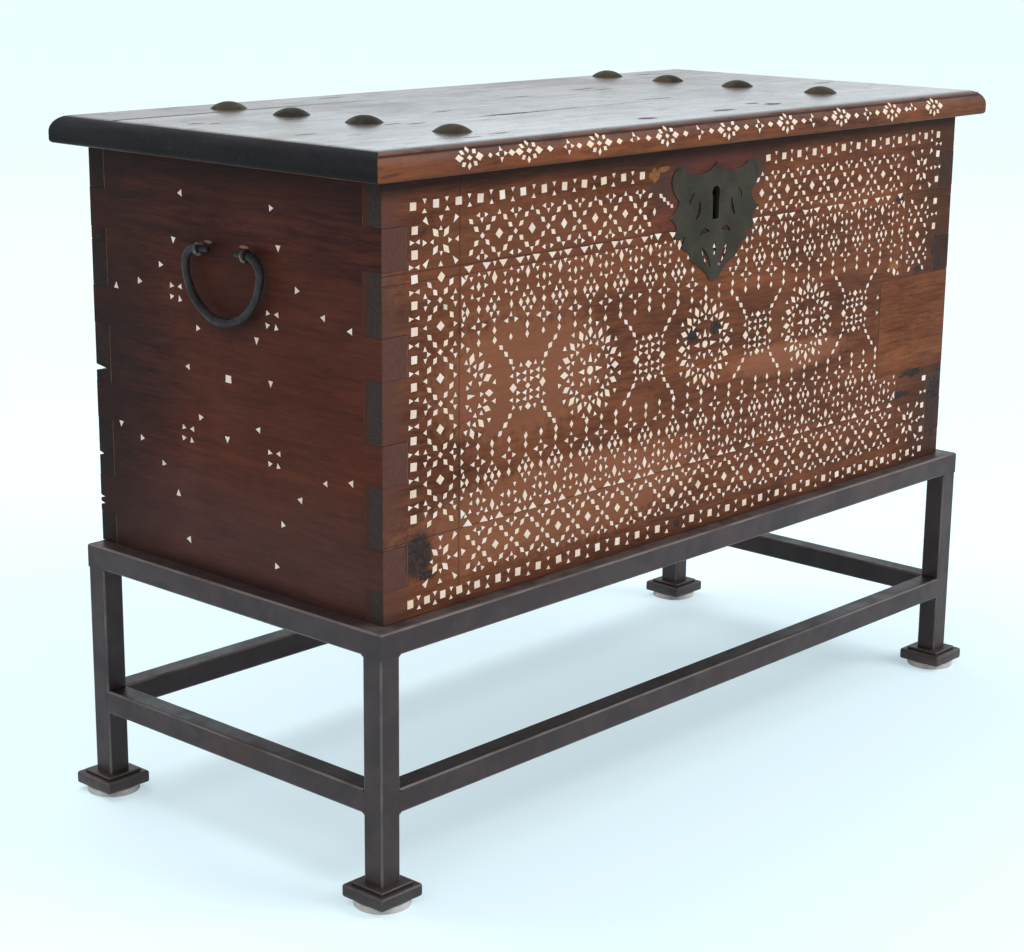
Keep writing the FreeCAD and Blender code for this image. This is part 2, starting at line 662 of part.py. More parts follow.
def lock():
    """Case let into the front, sliding bolt with its spring, and the staple on the lid."""
    slot_size = ("staple_thickness + 2*staple_gap", "staple_width + 2*staple_gap", "lock_wall")
    slot_at = (f"{STAPLE_LEFT} - staple_gap", f"{LOCK_MIDDLE} - staple_width/2 - staple_gap",
               f"{CHEST_TOP} - lock_wall")
    room = lock_case_box("case_room", "lock_wall")
    openings = [room, box("case_slot", slot_size, slot_at), *keyhole_cut()]
    shell = cut("case_shell", lock_case_box("case"), openings)
    guide_size = ("guide_width", "lock_depth - 2*lock_wall", "guide_height")
    guide_z = f"{BOLT_BOTTOM} - bolt_gap - guide_height"
    guide_starts = [f"{BOLT_LEFT} + guide_inset", f"{BOLT_RIGHT} - guide_width"]
    guides = [box("guide", guide_size, (x, f"{LOCK_FRONT} + lock_wall", guide_z)) for x in guide_starts]
    node("lock_case", fuse("case_solid", [shell] + guides))

    y = f"{LOCK_MIDDLE} - bolt_thickness/2"
    bar = box("bolt_bar", ("bolt_length", "bolt_thickness", "bolt_height"), (BOLT_LEFT, y, BOLT_BOTTOM))
    arm_at = (f"{BOLT_LEFT} + bolt_arm_offset", y, f"{BOLT_BOTTOM} - bolt_arm_length")
    arm = box("bolt_arm", ("bolt_arm_width", "bolt_thickness", "bolt_arm_length"), arm_at)
    node("lock_bolt", fuse("bolt_solid", [bar, arm]))

    case_left = "(lock_offset - lock_width/2 + lock_wall)"
    spring_size = (f"{BOLT_RIGHT} - bolt_length/2 - {case_left}", "bolt_thickness", "spring_thickness")
    spring_at = (case_left, y, f"{BOLT_BOTTOM} + bolt_height + bolt_gap")
    node("bolt_spring", box("spring", spring_size, spring_at))

    tab_size = ("staple_thickness", "staple_width", "staple_drop")
    tab_at = (STAPLE_LEFT, f"{LOCK_MIDDLE} - staple_width/2", f"{CHEST_TOP} - staple_drop")
    staple = fuse("staple_blank", [staple_plate("staple_base"), box("staple_tab", tab_size, tab_at)])
    node("lid_staple", cut("staple_cut", staple, [bolt_way("staple_eye", "bolt_gap")]))


# Right half of the lock plate's outline as shares of its half width and height, from the peak
# at the top to the point at the foot: each entry is a stretch's middle and its end, or its end alone.
PLATE_HALF = [
    [(0.13, 0.07)],
    [(0.38, 0.085), (0.64, 0.05)],
    [(0.90, 0.045), (0.95, 0.13)],
    [(0.90, 0.21), (0.79, 0.28)],
    [(0.83, 0.345), (1.00, 0.415)],
    [(0.89, 0.455), (0.83, 0.505)],
    [(0.87, 0.595)],
    [(0.74, 0.60), (0.60, 0.58)],
    [(0.68, 0.625), (0.71, 0.675)],
    [(0.63, 0.71), (0.54, 0.73)],
    [(0.51, 0.79), (0.43, 0.83)],
    [(0.26, 0.885), (0.12, 0.965)],
    [(0.06, 0.995), (0.00, 1.00)],
]
# Piercings right of the middle: two ends, and a point that each of the two curved sides passes through
PIERCINGS = [
    [(0.36, 0.30), (0.45, 0.47), (0.325, 0.37), (0.39, 0.375)],
    [(0.46, 0.235), (0.57, 0.335), (0.56, 0.265), (0.525, 0.28)],
    [(0.12, 0.585), (0.34, 0.605), (0.235, 0.54), (0.235, 0.588)],
    [(0.28, 0.70), (0.08, 0.89), (0.23, 0.81), (0.145, 0.78)],
]
MIDDLE_PETAL = [(0.00, 0.67), (0.00, 0.79), (0.045, 0.73), (-0.045, 0.73)]


def lock_plate():
    """A flat leaf shaped plate, pierced with a keyhole, crescents and petals."""
    half, height = value("plate_width/2"), value("plate_height")

    def point(place_on_plate, side=1):
        across, down = place_on_plate
        return FreeCAD.Vector(side*across*half, -down*height, 0)

    body = new_body("lock_plate_body")
    outline = new_sketch(body, "XZ_Plane", "lock_plate_outline")
    for side in (1, -1):
        start = (0.0, 0.0)
        for *middle, end in PLATE_HALF:
            if middle:
                outline.addGeometry(Part.Arc(point(start, side), point(middle[0], side), point(end, side)))
            else:
                outline.addGeometry(Part.LineSegment(point(start, side), point(end, side)))
            start = end
    lenses = [(lens, side) for lens in PIERCINGS for side in (1, -1)] + [(MIDDLE_PETAL, 1)]
    for (first, last, one_side, other_side), side in lenses:
        for way in (one_side, other_side):
            outline.addGeometry(Part.Arc(point(first, side), point(way, side), point(last, side)))
    keyhole_outline(outline)
    pad(body, outline, "plate_thickness")
    node("lock_plate", place(body, ("lock_offset", CHEST_FRONT, PLATE_TOP)))


def keyhole_outline(sketch):
    """A round eye that runs down into a slot with a square end."""
    radius, slot = value("keyhole_radius"), value("keyhole_slot_width/2")
    middle, end = -value("keyhole_drop"), -value("keyhole_slot_end")
    shoulder = middle - (radius**2 - slot**2)**0.5
    right, left = FreeCAD.Vector(slot, shoulder, 0), FreeCAD.Vector(-slot, shoulder, 0)
    foot_right, foot_left = FreeCAD.Vector(slot, end, 0), FreeCAD.Vector(-slot, end, 0)
    sketch.addGeometry(Part.Arc(right, FreeCAD.Vector(0, middle + radius, 0), left))
    for start, stop in ((left, foot_left), (foot_left, foot_right), (foot_right, right)):
        sketch.addGeometry(Part.LineSegment(start, stop))


def eye_rows():
    return [f"({HANDLE_MIDDLE} - eye_spacing/2)", f"({HANDLE_MIDDLE} + eye_spacing/2)"]


def bend(name, radius, angle, start, at):
    """A bent stretch of the handle's rod, from a start angle, in the plane of the chest's end."""
    item = doc.addObject("Part::Torus", name)
    item.Angle3 = angle
    bind(item, Radius1=radius, Radius2="handle_rod_radius")
    return place(item, at, IN_END_PLANE * about_z(start))


def drop_handle(side):
    """A bent rod whose thinner, shouldered ends turn in two eyes; it hangs against the end of the chest."""
    x = f"{SIGN[side]}*(chest_length/2 + handle_standoff)"
    straight = "(handle_half_width - handle_corner)"
    bends_z = f"({HANDLE_Z} - handle_corner)"
    front, back = f"{HANDLE_MIDDLE} - {straight}", f"{HANDLE_MIDDLE} + {straight}"
    pin_starts = [front, f"{back} - handle_pin_length"]
    pins = [
        cylinder("handle_pin", "handle_pin_radius", "handle_pin_length", (x, y, HANDLE_Z), "y")
        for y in pin_starts
    ]
    turn = math.degrees(math.atan2(value(BOW_RISE), value(BOW_REACH)))
    bow = f"({BOW_RISE} + {BOW_DEPTH})"
    side_back, side_front = f"{HANDLE_MIDDLE} + {BOW_REACH}", f"{HANDLE_MIDDLE} - {BOW_REACH}"
    bends = [
        bend("handle_bow", bow, 180 - 2*turn, 180 + turn, (x, HANDLE_MIDDLE, f"{bends_z} + {BOW_RISE}")),
        bend("handle_back_side", "handle_side_radius", turn, -turn, (x, side_back, bends_z)),
        bend("handle_front_side", "handle_side_radius", turn, 180, (x, side_front, bends_z)),
        bend("handle_back_bend", "handle_corner", 90, 0, (x, back, bends_z)),
        bend("handle_front_bend", "handle_corner", 90, 90, (x, front, bends_z)),
    ]
    node(f"handle_{side}", fuse(f"handle_{side}_rod", bends + pins))


def handle_eyes(side):
    """Two wire eyes whose shanks go through the end board and are clinched inside."""
    reach = f"(handle_standoff - {EYE_RADIUS})"
    length = f"({reach} + end_thickness + eye_clinch_thickness)"
    inside = "(chest_length/2 - end_thickness - eye_clinch_thickness)"
    shank_start = f"-(chest_length/2 + {reach})" if side == LEFT else inside
    clinch_x = f"-{inside} - eye_clinch_thickness" if side == LEFT else inside
    clinch_size = ("eye_clinch_thickness", "eye_clinch_length", "eye_clinch_width")
    solids = []
    for number, y in enumerate(eye_rows()):
        ring = doc.addObject("Part::Torus", "eye_ring")
        bind(ring, Radius1=EYE_RADIUS, Radius2="eye_wire_radius")
        place(ring, (f"{SIGN[side]}*(chest_length/2 + handle_standoff)", y, HANDLE_Z), ALONG["y"])
        shank = cylinder("eye_shank", "eye_shank_radius", length, (shank_start, y, HANDLE_Z), "x")
        outward = "eye_clinch_width/2 - eye_clinch_length" if number == 0 else "-eye_clinch_width/2"
        clinch_at = (clinch_x, f"{y} + {outward}", f"{HANDLE_Z} - eye_clinch_width/2")
        clinch = box("eye_clinched_end", clinch_size, clinch_at)
        solids.append(fuse(f"eye_{side}_{number}", [ring, shank, clinch]))
    group = doc.addObject("Part::Compound", f"handle_eyes_{side}_group")
    group.Links = solids
    node(f"handle_eyes_{side}", group)


def export():
    """Write each piece to its own file once every object is sound."""
    doc.recompute()
    failed = [item.Label for item in doc.Objects if {"Invalid", "Error"} & set(item.State)]
    unsound = [label for label, item in nodes.items() if item.Shape.isNull() or not item.Shape.isValid()]
    if failed or unsound:
        raise RuntimeError(f"failed: {failed}, unsound: {unsound}")
    os.makedirs("parts", exist_ok=True)
    for label, item in nodes.items():
        item.Shape.exportStep(f"parts/{label}.step")


stand_frame()
feet()
weld_beads()
chest_walls()
lid()
for side_name in SIGN:
    strap_hinge(side_name)
    drop_handle(side_name)
    handle_eyes(side_name)
lock()
lock_plate()
export()
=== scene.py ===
import math
import random

import bpy
from mathutils import Matrix, Vector, noise


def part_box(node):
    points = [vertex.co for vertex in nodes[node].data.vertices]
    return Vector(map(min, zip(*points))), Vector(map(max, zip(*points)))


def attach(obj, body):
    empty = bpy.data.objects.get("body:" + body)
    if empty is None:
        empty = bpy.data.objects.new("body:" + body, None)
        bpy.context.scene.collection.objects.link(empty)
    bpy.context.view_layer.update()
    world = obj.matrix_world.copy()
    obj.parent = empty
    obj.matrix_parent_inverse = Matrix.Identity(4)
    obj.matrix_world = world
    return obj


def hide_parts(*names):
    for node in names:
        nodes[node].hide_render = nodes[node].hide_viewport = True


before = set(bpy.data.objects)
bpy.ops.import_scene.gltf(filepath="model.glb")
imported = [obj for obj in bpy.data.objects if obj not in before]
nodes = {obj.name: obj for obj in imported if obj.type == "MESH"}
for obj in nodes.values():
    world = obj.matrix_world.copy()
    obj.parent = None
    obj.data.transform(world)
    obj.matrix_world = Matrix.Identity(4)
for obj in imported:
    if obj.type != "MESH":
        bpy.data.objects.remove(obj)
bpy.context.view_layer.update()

MM = 0.001
hand = random.Random(11)

# Places on the chest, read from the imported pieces
FRONT_LOW, FRONT_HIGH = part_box("front_upper_board")
BACK_LOW, BACK_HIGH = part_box("back_lower_board")
LID_LOW, LID_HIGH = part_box("lid_front_board")
LID_BACK_LOW, LID_BACK_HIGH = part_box("lid_back_board")
PATCH_LOW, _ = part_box("front_patch")
CHEST_LEFT, CHEST_RIGHT = FRONT_LOW.x, FRONT_HIGH.x
CHEST_FRONT, CHEST_BACK = FRONT_LOW.y, BACK_HIGH.y
CHEST_TOP, CHEST_BOTTOM = FRONT_HIGH.z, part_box("front_lower_board")[0].z
LID_TOP = LID_HIGH.z
LID_ROUND = (LID_TOP - LID_LOW.z) * 17 / 28
END_INNER = -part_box("left_end_board")[1].x


# Selecting and shaping

def pick(*pieces):
    """Select only these pieces, the first of them active."""
    bpy.ops.object.select_all(action="DESELECT")
    for piece in pieces:
        piece.select_set(True)
    bpy.context.view_layer.objects.active = pieces[0]


def edit_mode(on):
    bpy.ops.object.mode_set(mode="EDIT" if on else "OBJECT")


def new_piece(name):
    """The shape just added, named and with its place and turn applied."""
    piece = bpy.context.object
    piece.name = name
    pick(piece)
    bpy.ops.object.transform_apply(location=True, rotation=True, scale=True)
    return piece


def apply_modifier(piece, kind, **settings):
    pick(piece)
    modifier = piece.modifiers.new(kind.lower(), kind)
    for name, value in settings.items():
        setattr(modifier, name, value)
    bpy.ops.object.modifier_apply(modifier=modifier.name)


def dress(piece, *materials):
    piece.data.materials.clear()
    for material in materials:
        piece.data.materials.append(material)
    return piece


def settle(piece, body, slot, *replaced):
    """Attach a finished piece to its body and hide the solids it stands for. The slot is not used."""
    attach(piece, body)
    if replaced:
        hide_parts(*replaced)


# Node trees

class Bench:
    """A node tree with short ways to add what the finishes need."""

    def __init__(self, tree):
        self.tree = tree

    def add(self, kind, values=(), **settings):
        """A node with its first inputs filled in."""
        item = self.tree.nodes.new("ShaderNode" + kind)
        for name, value in settings.items():
            setattr(item, name, value)
        for socket, value in zip(item.inputs, values):
            self.feed(socket, value)
        return item

    def feed(self, socket, value):
        if isinstance(value, bpy.types.NodeSocket):
            self.tree.links.new(value, socket)
        elif socket.type == "RGBA" and len(value) == 3:
            socket.default_value = (*value, 1.0)
        else:
            socket.default_value = value

    def feed_named(self, item, **values):
        for name, value in values.items():
            self.feed(item.inputs[name.replace("_", " ")], value)
        return item.outputs

    def math(self, operation, *values):
        return self.add("Math", values, operation=operation).outputs[0]

    def plus(self, first, second):
        return self.math("ADD", first, second)

    def less(self, first, second):
        return self.math("SUBTRACT", first, second)

    def times(self, first, *others):
        for other in others:
            first = self.math("MULTIPLY", first, other)
        return first

    def any_of(self, first, *others):
        for other in others:
            first = self.math("MAXIMUM", first, other)
        return first

    def vector(self, operation, *values):
        output = "Value" if operation in ("LENGTH", "DOT_PRODUCT") else "Vector"
        return self.add("VectorMath", values, operation=operation).outputs[output]

    def mix(self, factor, first, second, how="MIX"):
        item = self.add("Mix", data_type="RGBA", blend_type=how)
        for index, value in ((0, factor), (6, first), (7, second)):
            self.feed(item.inputs[index], value)
        return item.outputs[2]

    def noise(self, vector, scale, detail=3.0, roughness=0.5, distortion=0.0):
        return self.feed_named(self.add("TexNoise"), Vector=vector, Scale=scale, Detail=detail, Roughness=roughness,
                               Distortion=distortion)[0]

    def ease(self, value, low, high, out_low=0.0, out_high=1.0):
        values = (value, low, high, out_low, out_high)
        return self.add("MapRange", values, interpolation_type="SMOOTHSTEP").outputs[0]

    def mapping(self, vector, scale=(1, 1, 1), turn=(0, 0, 0), shift=(0, 0, 0)):
        return self.add("Mapping", (vector, shift, turn, scale)).outputs[0]

    def grain(self, vector, stretch, detail, roughness=0.5, distortion=0.0, turn=(0, 0, 0), shift=(0, 0, 0)):
        """Noise drawn out along the piece's axes."""
        return self.noise(self.mapping(vector, stretch, turn, shift), 1.0, detail, roughness, distortion)

    def group(self, tree, *values):
        return self.add("Group", values, node_tree=tree).outputs

    def split(self, vector):
        return self.add("SeparateXYZ", (vector,)).outputs

    def normal(self, axis):
        """Which way a face looks along one of the piece's own axes."""
        return self.split(self.add("TexCoord").outputs["Normal"])[axis]

    def facing(self, axis):
        return self.math("ABSOLUTE", self.normal(axis))


# Effects that several finishes share

# Kinds of sockets by their labels; the rest hold a value
SOCKETS = {
    **dict.fromkeys(("Vector", "Middle", "Size"), "NodeSocketVector"),
    **dict.fromkeys(("Color", "Ground", "Deep", "Warm", "Metal", "Tarnish", "Rust"), "NodeSocketColor"),
}


def shared(name, inputs, outputs):
    """Turn the function that follows into a shader group: it takes the inputs and gives the outputs in order."""

    def build(effect):
        tree = bpy.data.node_groups.new(name, "ShaderNodeTree")
        for way, labels in (("INPUT", inputs), ("OUTPUT", outputs)):
            for label in labels.split():
                kind = SOCKETS.get(label, "NodeSocketFloat")
                tree.interface.new_socket(name=label, in_out=way, socket_type=kind)
        bench = Bench(tree)
        given = tree.nodes.new("NodeGroupInput").outputs
        results = effect(bench, *[given[label] for label in inputs.split()])
        bench.feed_named(tree.nodes.new("NodeGroupOutput"), **dict(zip(outputs.split(), results)))
        return tree

    return build


@shared("old wood", "Vector Ground Deep Warm", "Color Height")
def old_wood(bench, place, ground, deep, warm):
    """Straight grain along X with dark streaks, warm bands, fibres and pores."""
    broad = bench.grain(place, (1.8, 15, 15), 4.0, 0.55, 0.7)
    bands = bench.grain(place, (6.0, 70, 70), 6.0, 0.66, 1.6)
    fibre = bench.grain(place, (30, 330, 330), 4.0, 0.65, 0.6)
    pores = bench.ease(bench.grain(place, (80, 1150, 1150), 2.0), 0.58, 0.70)
    blotch = bench.grain(place, (7, 16, 16), 6.0, 0.68, 0.4)
    colour = bench.mix(bench.times(bench.ease(bands, 0.42, 0.68), 0.8), ground, deep)
    colour = bench.mix(bench.times(bench.ease(broad, 0.46, 0.68), 0.65), colour, warm)
    tone = bench.plus(bench.ease(fibre, 0.25, 0.75, 0.70, 1.22), bench.ease(blotch, 0.3, 0.7, -0.26, 0.26))
    tone = bench.less(tone, bench.times(pores, 0.30))
    shade = bench.add("CombineColor", (tone, tone, tone)).outputs[0]
    height = bench.plus(bench.less(fibre, bench.times(pores, 0.8)), bench.times(bands, 0.9))
    return bench.mix(1.0, colour, shade, "MULTIPLY"), height


@shared("ragged spot", "Vector Middle Size Ragged", "Mask")
def ragged_spot(bench, place, middle, size, ragged):
    """A patch with a torn edge around a place, one inside and nought outside."""
    reach = bench.vector("DIVIDE", bench.vector("SUBTRACT", place, middle), size)
    torn = bench.less(bench.noise(place, 110.0, 5.0, 0.68), 0.5)
    far = bench.plus(bench.vector("LENGTH", reach), bench.times(torn, ragged))
    return [bench.ease(far, 1.20, 0.72)]


@shared("incised line", "Coordinate At Width", "Mask")
def incised_line(bench, coordinate, at, width):
    """A narrow line across a coordinate."""
    far = bench.math("ABSOLUTE", bench.less(coordinate, at))
    return [bench.ease(bench.math("DIVIDE", far, width), 0.5, 0.2)]


@shared("scratches", "Vector Amount", "Mask Rub")
def scratches(bench, place, amount):
    """Fine scratches and rubbed places that run mostly along the grain."""
    fine = bench.grain(place, (22, 560, 560), 2.0, turn=(0.03, 0.02, 0.04))
    cross = bench.grain(place, (60, 380, 380), 2.0, turn=(0.25, 0.2, 0.35))
    rub = bench.noise(place, 9.0, 5.0, 0.65)
    marks = bench.any_of(bench.ease(fine, 0.66, 0.74), bench.times(bench.ease(cross, 0.69, 0.75), 0.5))
    return bench.times(marks, amount), bench.ease(rub, 0.4, 0.68)


@shared("patina", "Vector Metal Tarnish Rust", "Color Roughness Height")
def patina(bench, place, metal, tarnish, rust):
    """Cloudy tarnish and pitting on metal."""
    cloud = bench.noise(place, 28.0, 5.0, 0.62, 0.4)
    pits = bench.noise(place, 420.0, 4.0, 0.6)
    stain = bench.noise(place, 11.0, 4.0, 0.6)
    colour = bench.mix(bench.ease(cloud, 0.36, 0.62), metal, tarnish)
    colour = bench.mix(bench.times(bench.ease(stain, 0.52, 0.70), 0.7), colour, rust)
    roughness = bench.plus(bench.ease(cloud, 0.3, 0.7, 0.34, 0.50), bench.ease(pits, 0.4, 0.7, 0.0, 0.1))
    return colour, roughness, bench.plus(bench.times(pits, 0.6), cloud)


def front_point(across, down):
    """A place on the front, measured in millimetres from its top left corner."""
    return Vector((CHEST_LEFT + across * MM, CHEST_FRONT, CHEST_TOP - down * MM))


def end_point(across, down):
    """A place on the left end, measured in millimetres from its top back corner."""
    return Vector((CHEST_LEFT, CHEST_BACK - across * MM, CHEST_TOP - down * MM))


def lid_point(across, down):
    """A place on the lid's top, measured in millimetres from its back left corner."""
    return Vector((LID_LOW.x + across * MM, LID_BACK_HIGH.y - down * MM, LID_TOP))


# Tones of the wood inside the chest, and how deep its bare face fades into the polished ones
INSIDE_TONES = [(0.190, 0.100, 0.062), (0.110, 0.055, 0.036), (0.270, 0.150, 0.090)]
BARE_DEPTH = (1.2, 0.4)


class Finish(Bench):
    """A material on the bench: where a point lies on the piece, and the colour built up so far."""

    def __init__(self, name):
        self.material = bpy.data.materials.new(name)
        self.material.use_nodes = True
        super().__init__(self.material.node_tree)
        self.shader = self.tree.nodes["Principled BSDF"]
        self.place = self.add("TexCoord").outputs["Object"]
        self.colour = None

    def stain(self, mask, tint, amount=1.0):
        """Lay a tint over the colour where the mask is, as strong as the amount says."""
        if amount != 1.0:
            mask = self.times(mask, amount)
        self.colour = self.mix(mask, self.colour, tint)

    def wood(self, tones, shift):
        """Old wood in its ground, deep and warm tones."""
        return self.group(old_wood, self.mapping(self.place, shift=shift), *tones)

    def near(self, coordinate, edge, first, last, *strengths):
        """Eases between two distances from an edge, in millimetres."""
        return self.ease(coordinate, edge + first * MM, edge + last * MM, *strengths)

    def two_tone(self, pattern, low, high, first, second):
        """One tint where the pattern is low and another where it is high."""
        return self.mix(self.ease(pattern, low, high), first, second)

    def bare_inside(self, coordinate, face, way=1):
        """The unpolished wood of the inside, at and near one face of a board; gives its mask."""
        mask = self.near(coordinate, face, *[way * depth for depth in BARE_DEPTH])
        self.stain(mask, self.wood(INSIDE_TONES, (0.3, 0.8, 0.2))[0])
        return mask

    def finger_grain(self, dark, light):
        """Dark end grain of the fingers that show on the chest's ends."""
        return self.two_tone(self.grain(self.place, (60, 420, 420), 4.0, 0.65), 0.35, 0.68, dark, light)

    def end_grain(self, axis):
        return self.ease(self.facing(axis), 0.7, 0.95)

    def line(self, coordinate, at, width):
        return self.group(incised_line, coordinate, at, width)[0]

    def spot(self, middle, size, ragged):
        return self.group(ragged_spot, self.place, middle, size, ragged)[0]

    def front_spots(self, spots):
        """Torn patches on the front: across, down, half width and half height in millimetres, and raggedness."""
        return self.any_of(*[
            self.spot(front_point(across, down), (wide * MM, 0.5, tall * MM), ragged)
            for across, down, wide, tall, ragged in spots])

    def scratch(self, amount, tint, vector=None):
        """Scratches over the colour; gives how far each place is rubbed."""
        marks, rub = self.group(scratches, vector or self.place, amount)
        self.stain(marks, tint)
        return rub

    def done(self, roughness, height, distance, strength, **plain):
        """Feed the shader, with a bump as deep as the distance in millimetres."""
        bump = self.add("Bump")
        self.feed_named(bump, Height=height, Strength=strength, Distance=distance * MM)
        self.feed_named(self.shader, Base_Color=self.colour, Roughness=roughness, Normal=bump.outputs[0], **plain)
        return self.material


# Woods

# Bare scars at the left handle's eyes: across, down, half width and half height
EYE_SCARS = [(184, 81, 6, 1.6), (237, 80.5, 6, 1.8), (252, 93, 3, 2.5)]
# Places on the front where the wood is torn or burnt, and where painted shade darkens the wood under the lock plate
ORANGE_CHIPS = [(388, 26, 8, 7, 2.6), (842, 170, 12, 6, 2.6), (556, 95, 18, 3.2, 2.2), (402, 22, 9, 3, 2.4)]
CORNER_BURN = (47, 358, 19, 23, 1.3)
BURNS = [
    CORNER_BURN, (460, 201, 11, 9, 1.6), (498, 199, 10, 9, 1.6), (943, 350, 16, 38, 1.8), (868, 330, 22, 4, 2.6),
    (846, 92, 12, 3, 2.6), (893, 180, 12, 4, 2.6), (925, 162, 5, 5, 1.6), (440, 405, 5, 5, 1.6),
    (895, 306, 26, 5, 2.6), (330, 216, 7, 4, 2.6), (58, 380, 12, 5, 2.6),
]
SHADE_UNDER_LOCK_PLATE = [(491, 78, 46, 52, 0.2)]
# Stained places of the front: their spots, the tint and its strength
FRONT_STAINS = {
    "worn": ([(190, 205, 130, 66, 1.2), (640, 250, 110, 18, 1.2), (250, 345, 230, 46, 1.2)],
             (0.300, 0.116, 0.060), 0.62),
    "rubbed": ([(620, 214, 26, 34, 1.2), (366, 266, 34, 14, 1.2), (200, 90, 190, 60, 1.2)],
               (0.265, 0.101, 0.050), 0.32),
    "dimmed": ([(575, 174, 44, 14, 1.4), (430, 258, 26, 12, 1.4), (742, 177, 30, 12, 1.4)],
               (0.080, 0.028, 0.018), 0.4),
    "bare round the lock": ([(485, 45, 95, 50, 0.9)], (0.100, 0.036, 0.029), 0.6),
    "red paint": ([(470, 14, 60, 12, 1.4), (415, 74, 26, 16, 1.6), (540, 14, 40, 10, 1.4), (706, 12, 12, 3, 1.5)],
                  (0.155, 0.040, 0.033), 0.45),
    "smudges": ([(398, 40, 17, 20, 2.2), (566, 28, 16, 18, 2.2), (548, 100, 22, 8, 2.2), (432, 20, 24, 7, 2.2)],
                (0.052, 0.038, 0.036), 0.5),
    "red specks": ([(212, 84, 4, 2, 1.8), (293, 83, 3, 3, 1.8), (33, 96, 3, 2, 1.8), (690, 22, 9, 2, 1.8),
                    (640, 84, 5, 2, 1.8)], (0.330, 0.050, 0.042), 0.7),
}
FRONT_TONES = [(0.148, 0.048, 0.022), (0.073, 0.025, 0.014), (0.215, 0.074, 0.031)]
END_TONES = [(0.080, 0.024, 0.017), (0.030, 0.012, 0.011), (0.142, 0.037, 0.016)]
LID_TONES = [(0.075, 0.040, 0.032), (0.034, 0.020, 0.017), (0.110, 0.058, 0.042)]
LID_EDGE_TONES = [(0.150, 0.047, 0.021), (0.075, 0.026, 0.015), (0.265, 0.080, 0.025)]
RULE_WIDTH = 0.0022


def front_wood(name, shift):
    """Reddish brown front: incised lines, red paint round the lock, burnt and chipped places."""
    look = Finish(name)
    x, y, z = look.split(look.place)
    look.colour, fibres = look.wood(FRONT_TONES, shift)
    look.stain(look.near(x, CHEST_LEFT, 45, 5), (0.118, 0.051, 0.040), 0.8)
    for spots, tint, amount in FRONT_STAINS.values():
        look.stain(look.front_spots(spots), tint, amount)
    # Painted shade: a dark strip under the lid's overhang, and a weaker one along the bottom above the stand.
    shade = look.any_of(look.near(z, CHEST_TOP, -22, -6),
                        look.times(look.near(z, CHEST_BOTTOM, 16, 0), 0.3))
    look.stain(shade, (0.030, 0.017, 0.014), 0.8)
    look.stain(look.near(x, CHEST_RIGHT, -120, -20), (0.044, 0.021, 0.014), 0.7)
    rules = [(z, CHEST_TOP - 0.0875), (z, CHEST_TOP - 0.3425), (x, CHEST_LEFT + 0.1015), (x, CHEST_LEFT + 0.8625)]
    groove = look.any_of(*[look.line(axis, at, RULE_WIDTH) for axis, at in rules])
    look.stain(groove, (0.030, 0.014, 0.011), 0.5)
    char = look.noise(look.place, 260.0, 4.0, 0.7)
    torn = look.two_tone(char, 0.35, 0.65, (0.340, 0.150, 0.050), (0.190, 0.070, 0.026))
    look.stain(look.front_spots(ORANGE_CHIPS), torn)
    # Painted shade on the wood under the lock plate.
    look.stain(look.front_spots(SHADE_UNDER_LOCK_PLATE), (0.022, 0.012, 0.010), 0.8)
    burnt = look.front_spots(BURNS)
    look.stain(burnt, look.two_tone(char, 0.40, 0.70, (0.016, 0.015, 0.017), (0.048, 0.042, 0.041)), 0.88)
    fingers = look.finger_grain((0.033, 0.027, 0.024), (0.054, 0.045, 0.040))
    fingers = look.mix(look.near(y, CHEST_FRONT, 16.5, 19), fingers, (0.072, 0.025, 0.018))
    look.stain(look.end_grain(0), fingers, 0.92)
    look.bare_inside(y, FRONT_HIGH.y, -1)
    rub = look.scratch(0.16, (0.32, 0.17, 0.10))
    height = look.less(fibres, look.times(look.any_of(groove, burnt), 2.2))
    return look.done(look.ease(rub, 0.0, 1.0, 0.38, 0.52), height, 0.35, 0.45, Specular_IOR_Level=0.05)


def end_wood(name, shift, finger_light, finger_dark):
    """Dark red brown ends, grain from back to front, redder where hands have rubbed them."""
    look = Finish(name)
    x, y, z = look.split(look.place)
    turned = look.mapping(look.place, turn=(0, 0, math.radians(90)), shift=shift)
    look.colour, height = look.group(old_wood, turned, *END_TONES)
    rubbed = Vector((CHEST_LEFT, CHEST_FRONT + 0.13, CHEST_TOP - 0.22))
    look.stain(look.spot(rubbed, (2.0, 0.18, 0.15), 0.5), (0.135, 0.036, 0.018), 0.35)
    # Painted shadow of the handle's bail: a dark spot below its eyes.
    look.stain(look.spot(end_point(205, 120), (2.0, 0.070, 0.060), 1.2), (0.030, 0.013, 0.011), 0.5)
    look.stain(look.near(z, CHEST_BOTTOM, 150, 30), (0.116, 0.052, 0.043), 0.45)
    # Painted shade under the lid's overhang and along the bottom, and darker towards the back edge.
    shade = look.any_of(look.near(z, CHEST_TOP, -70, -10),
                        look.times(look.near(z, CHEST_BOTTOM, 20, 0), 0.7),
                        look.near(y, CHEST_BACK, -160, -15))
    look.stain(shade, (0.022, 0.012, 0.012), 0.74)
    scars = look.any_of(*[look.spot(end_point(across, down), (0.02, wide * MM, tall * MM), 1.8)
                          for across, down, wide, tall in EYE_SCARS])
    look.stain(scars, (0.380, 0.230, 0.160), 0.6)
    speckle = look.grain(look.place, (420, 420, 160), 3.0, 0.6)
    fingers = look.two_tone(speckle, 0.30, 0.70, finger_light, finger_dark)
    across, down, wide, tall, ragged = CORNER_BURN
    burnt = look.spot(front_point(across, down), (wide * MM, 0.02, tall * MM), ragged)
    look.stain(look.end_grain(1), look.mix(look.times(burnt, 0.85), fingers, (0.030, 0.023, 0.021)))
    look.bare_inside(look.less(look.math("ABSOLUTE", x), END_INNER), 0.0)
    rub = look.scratch(0.14, (0.16, 0.07, 0.05), turned)
    return look.done(look.ease(rub, 0.0, 1.0, 0.36, 0.5), height, 0.35, 0.4, Specular_IOR_Level=0.05)


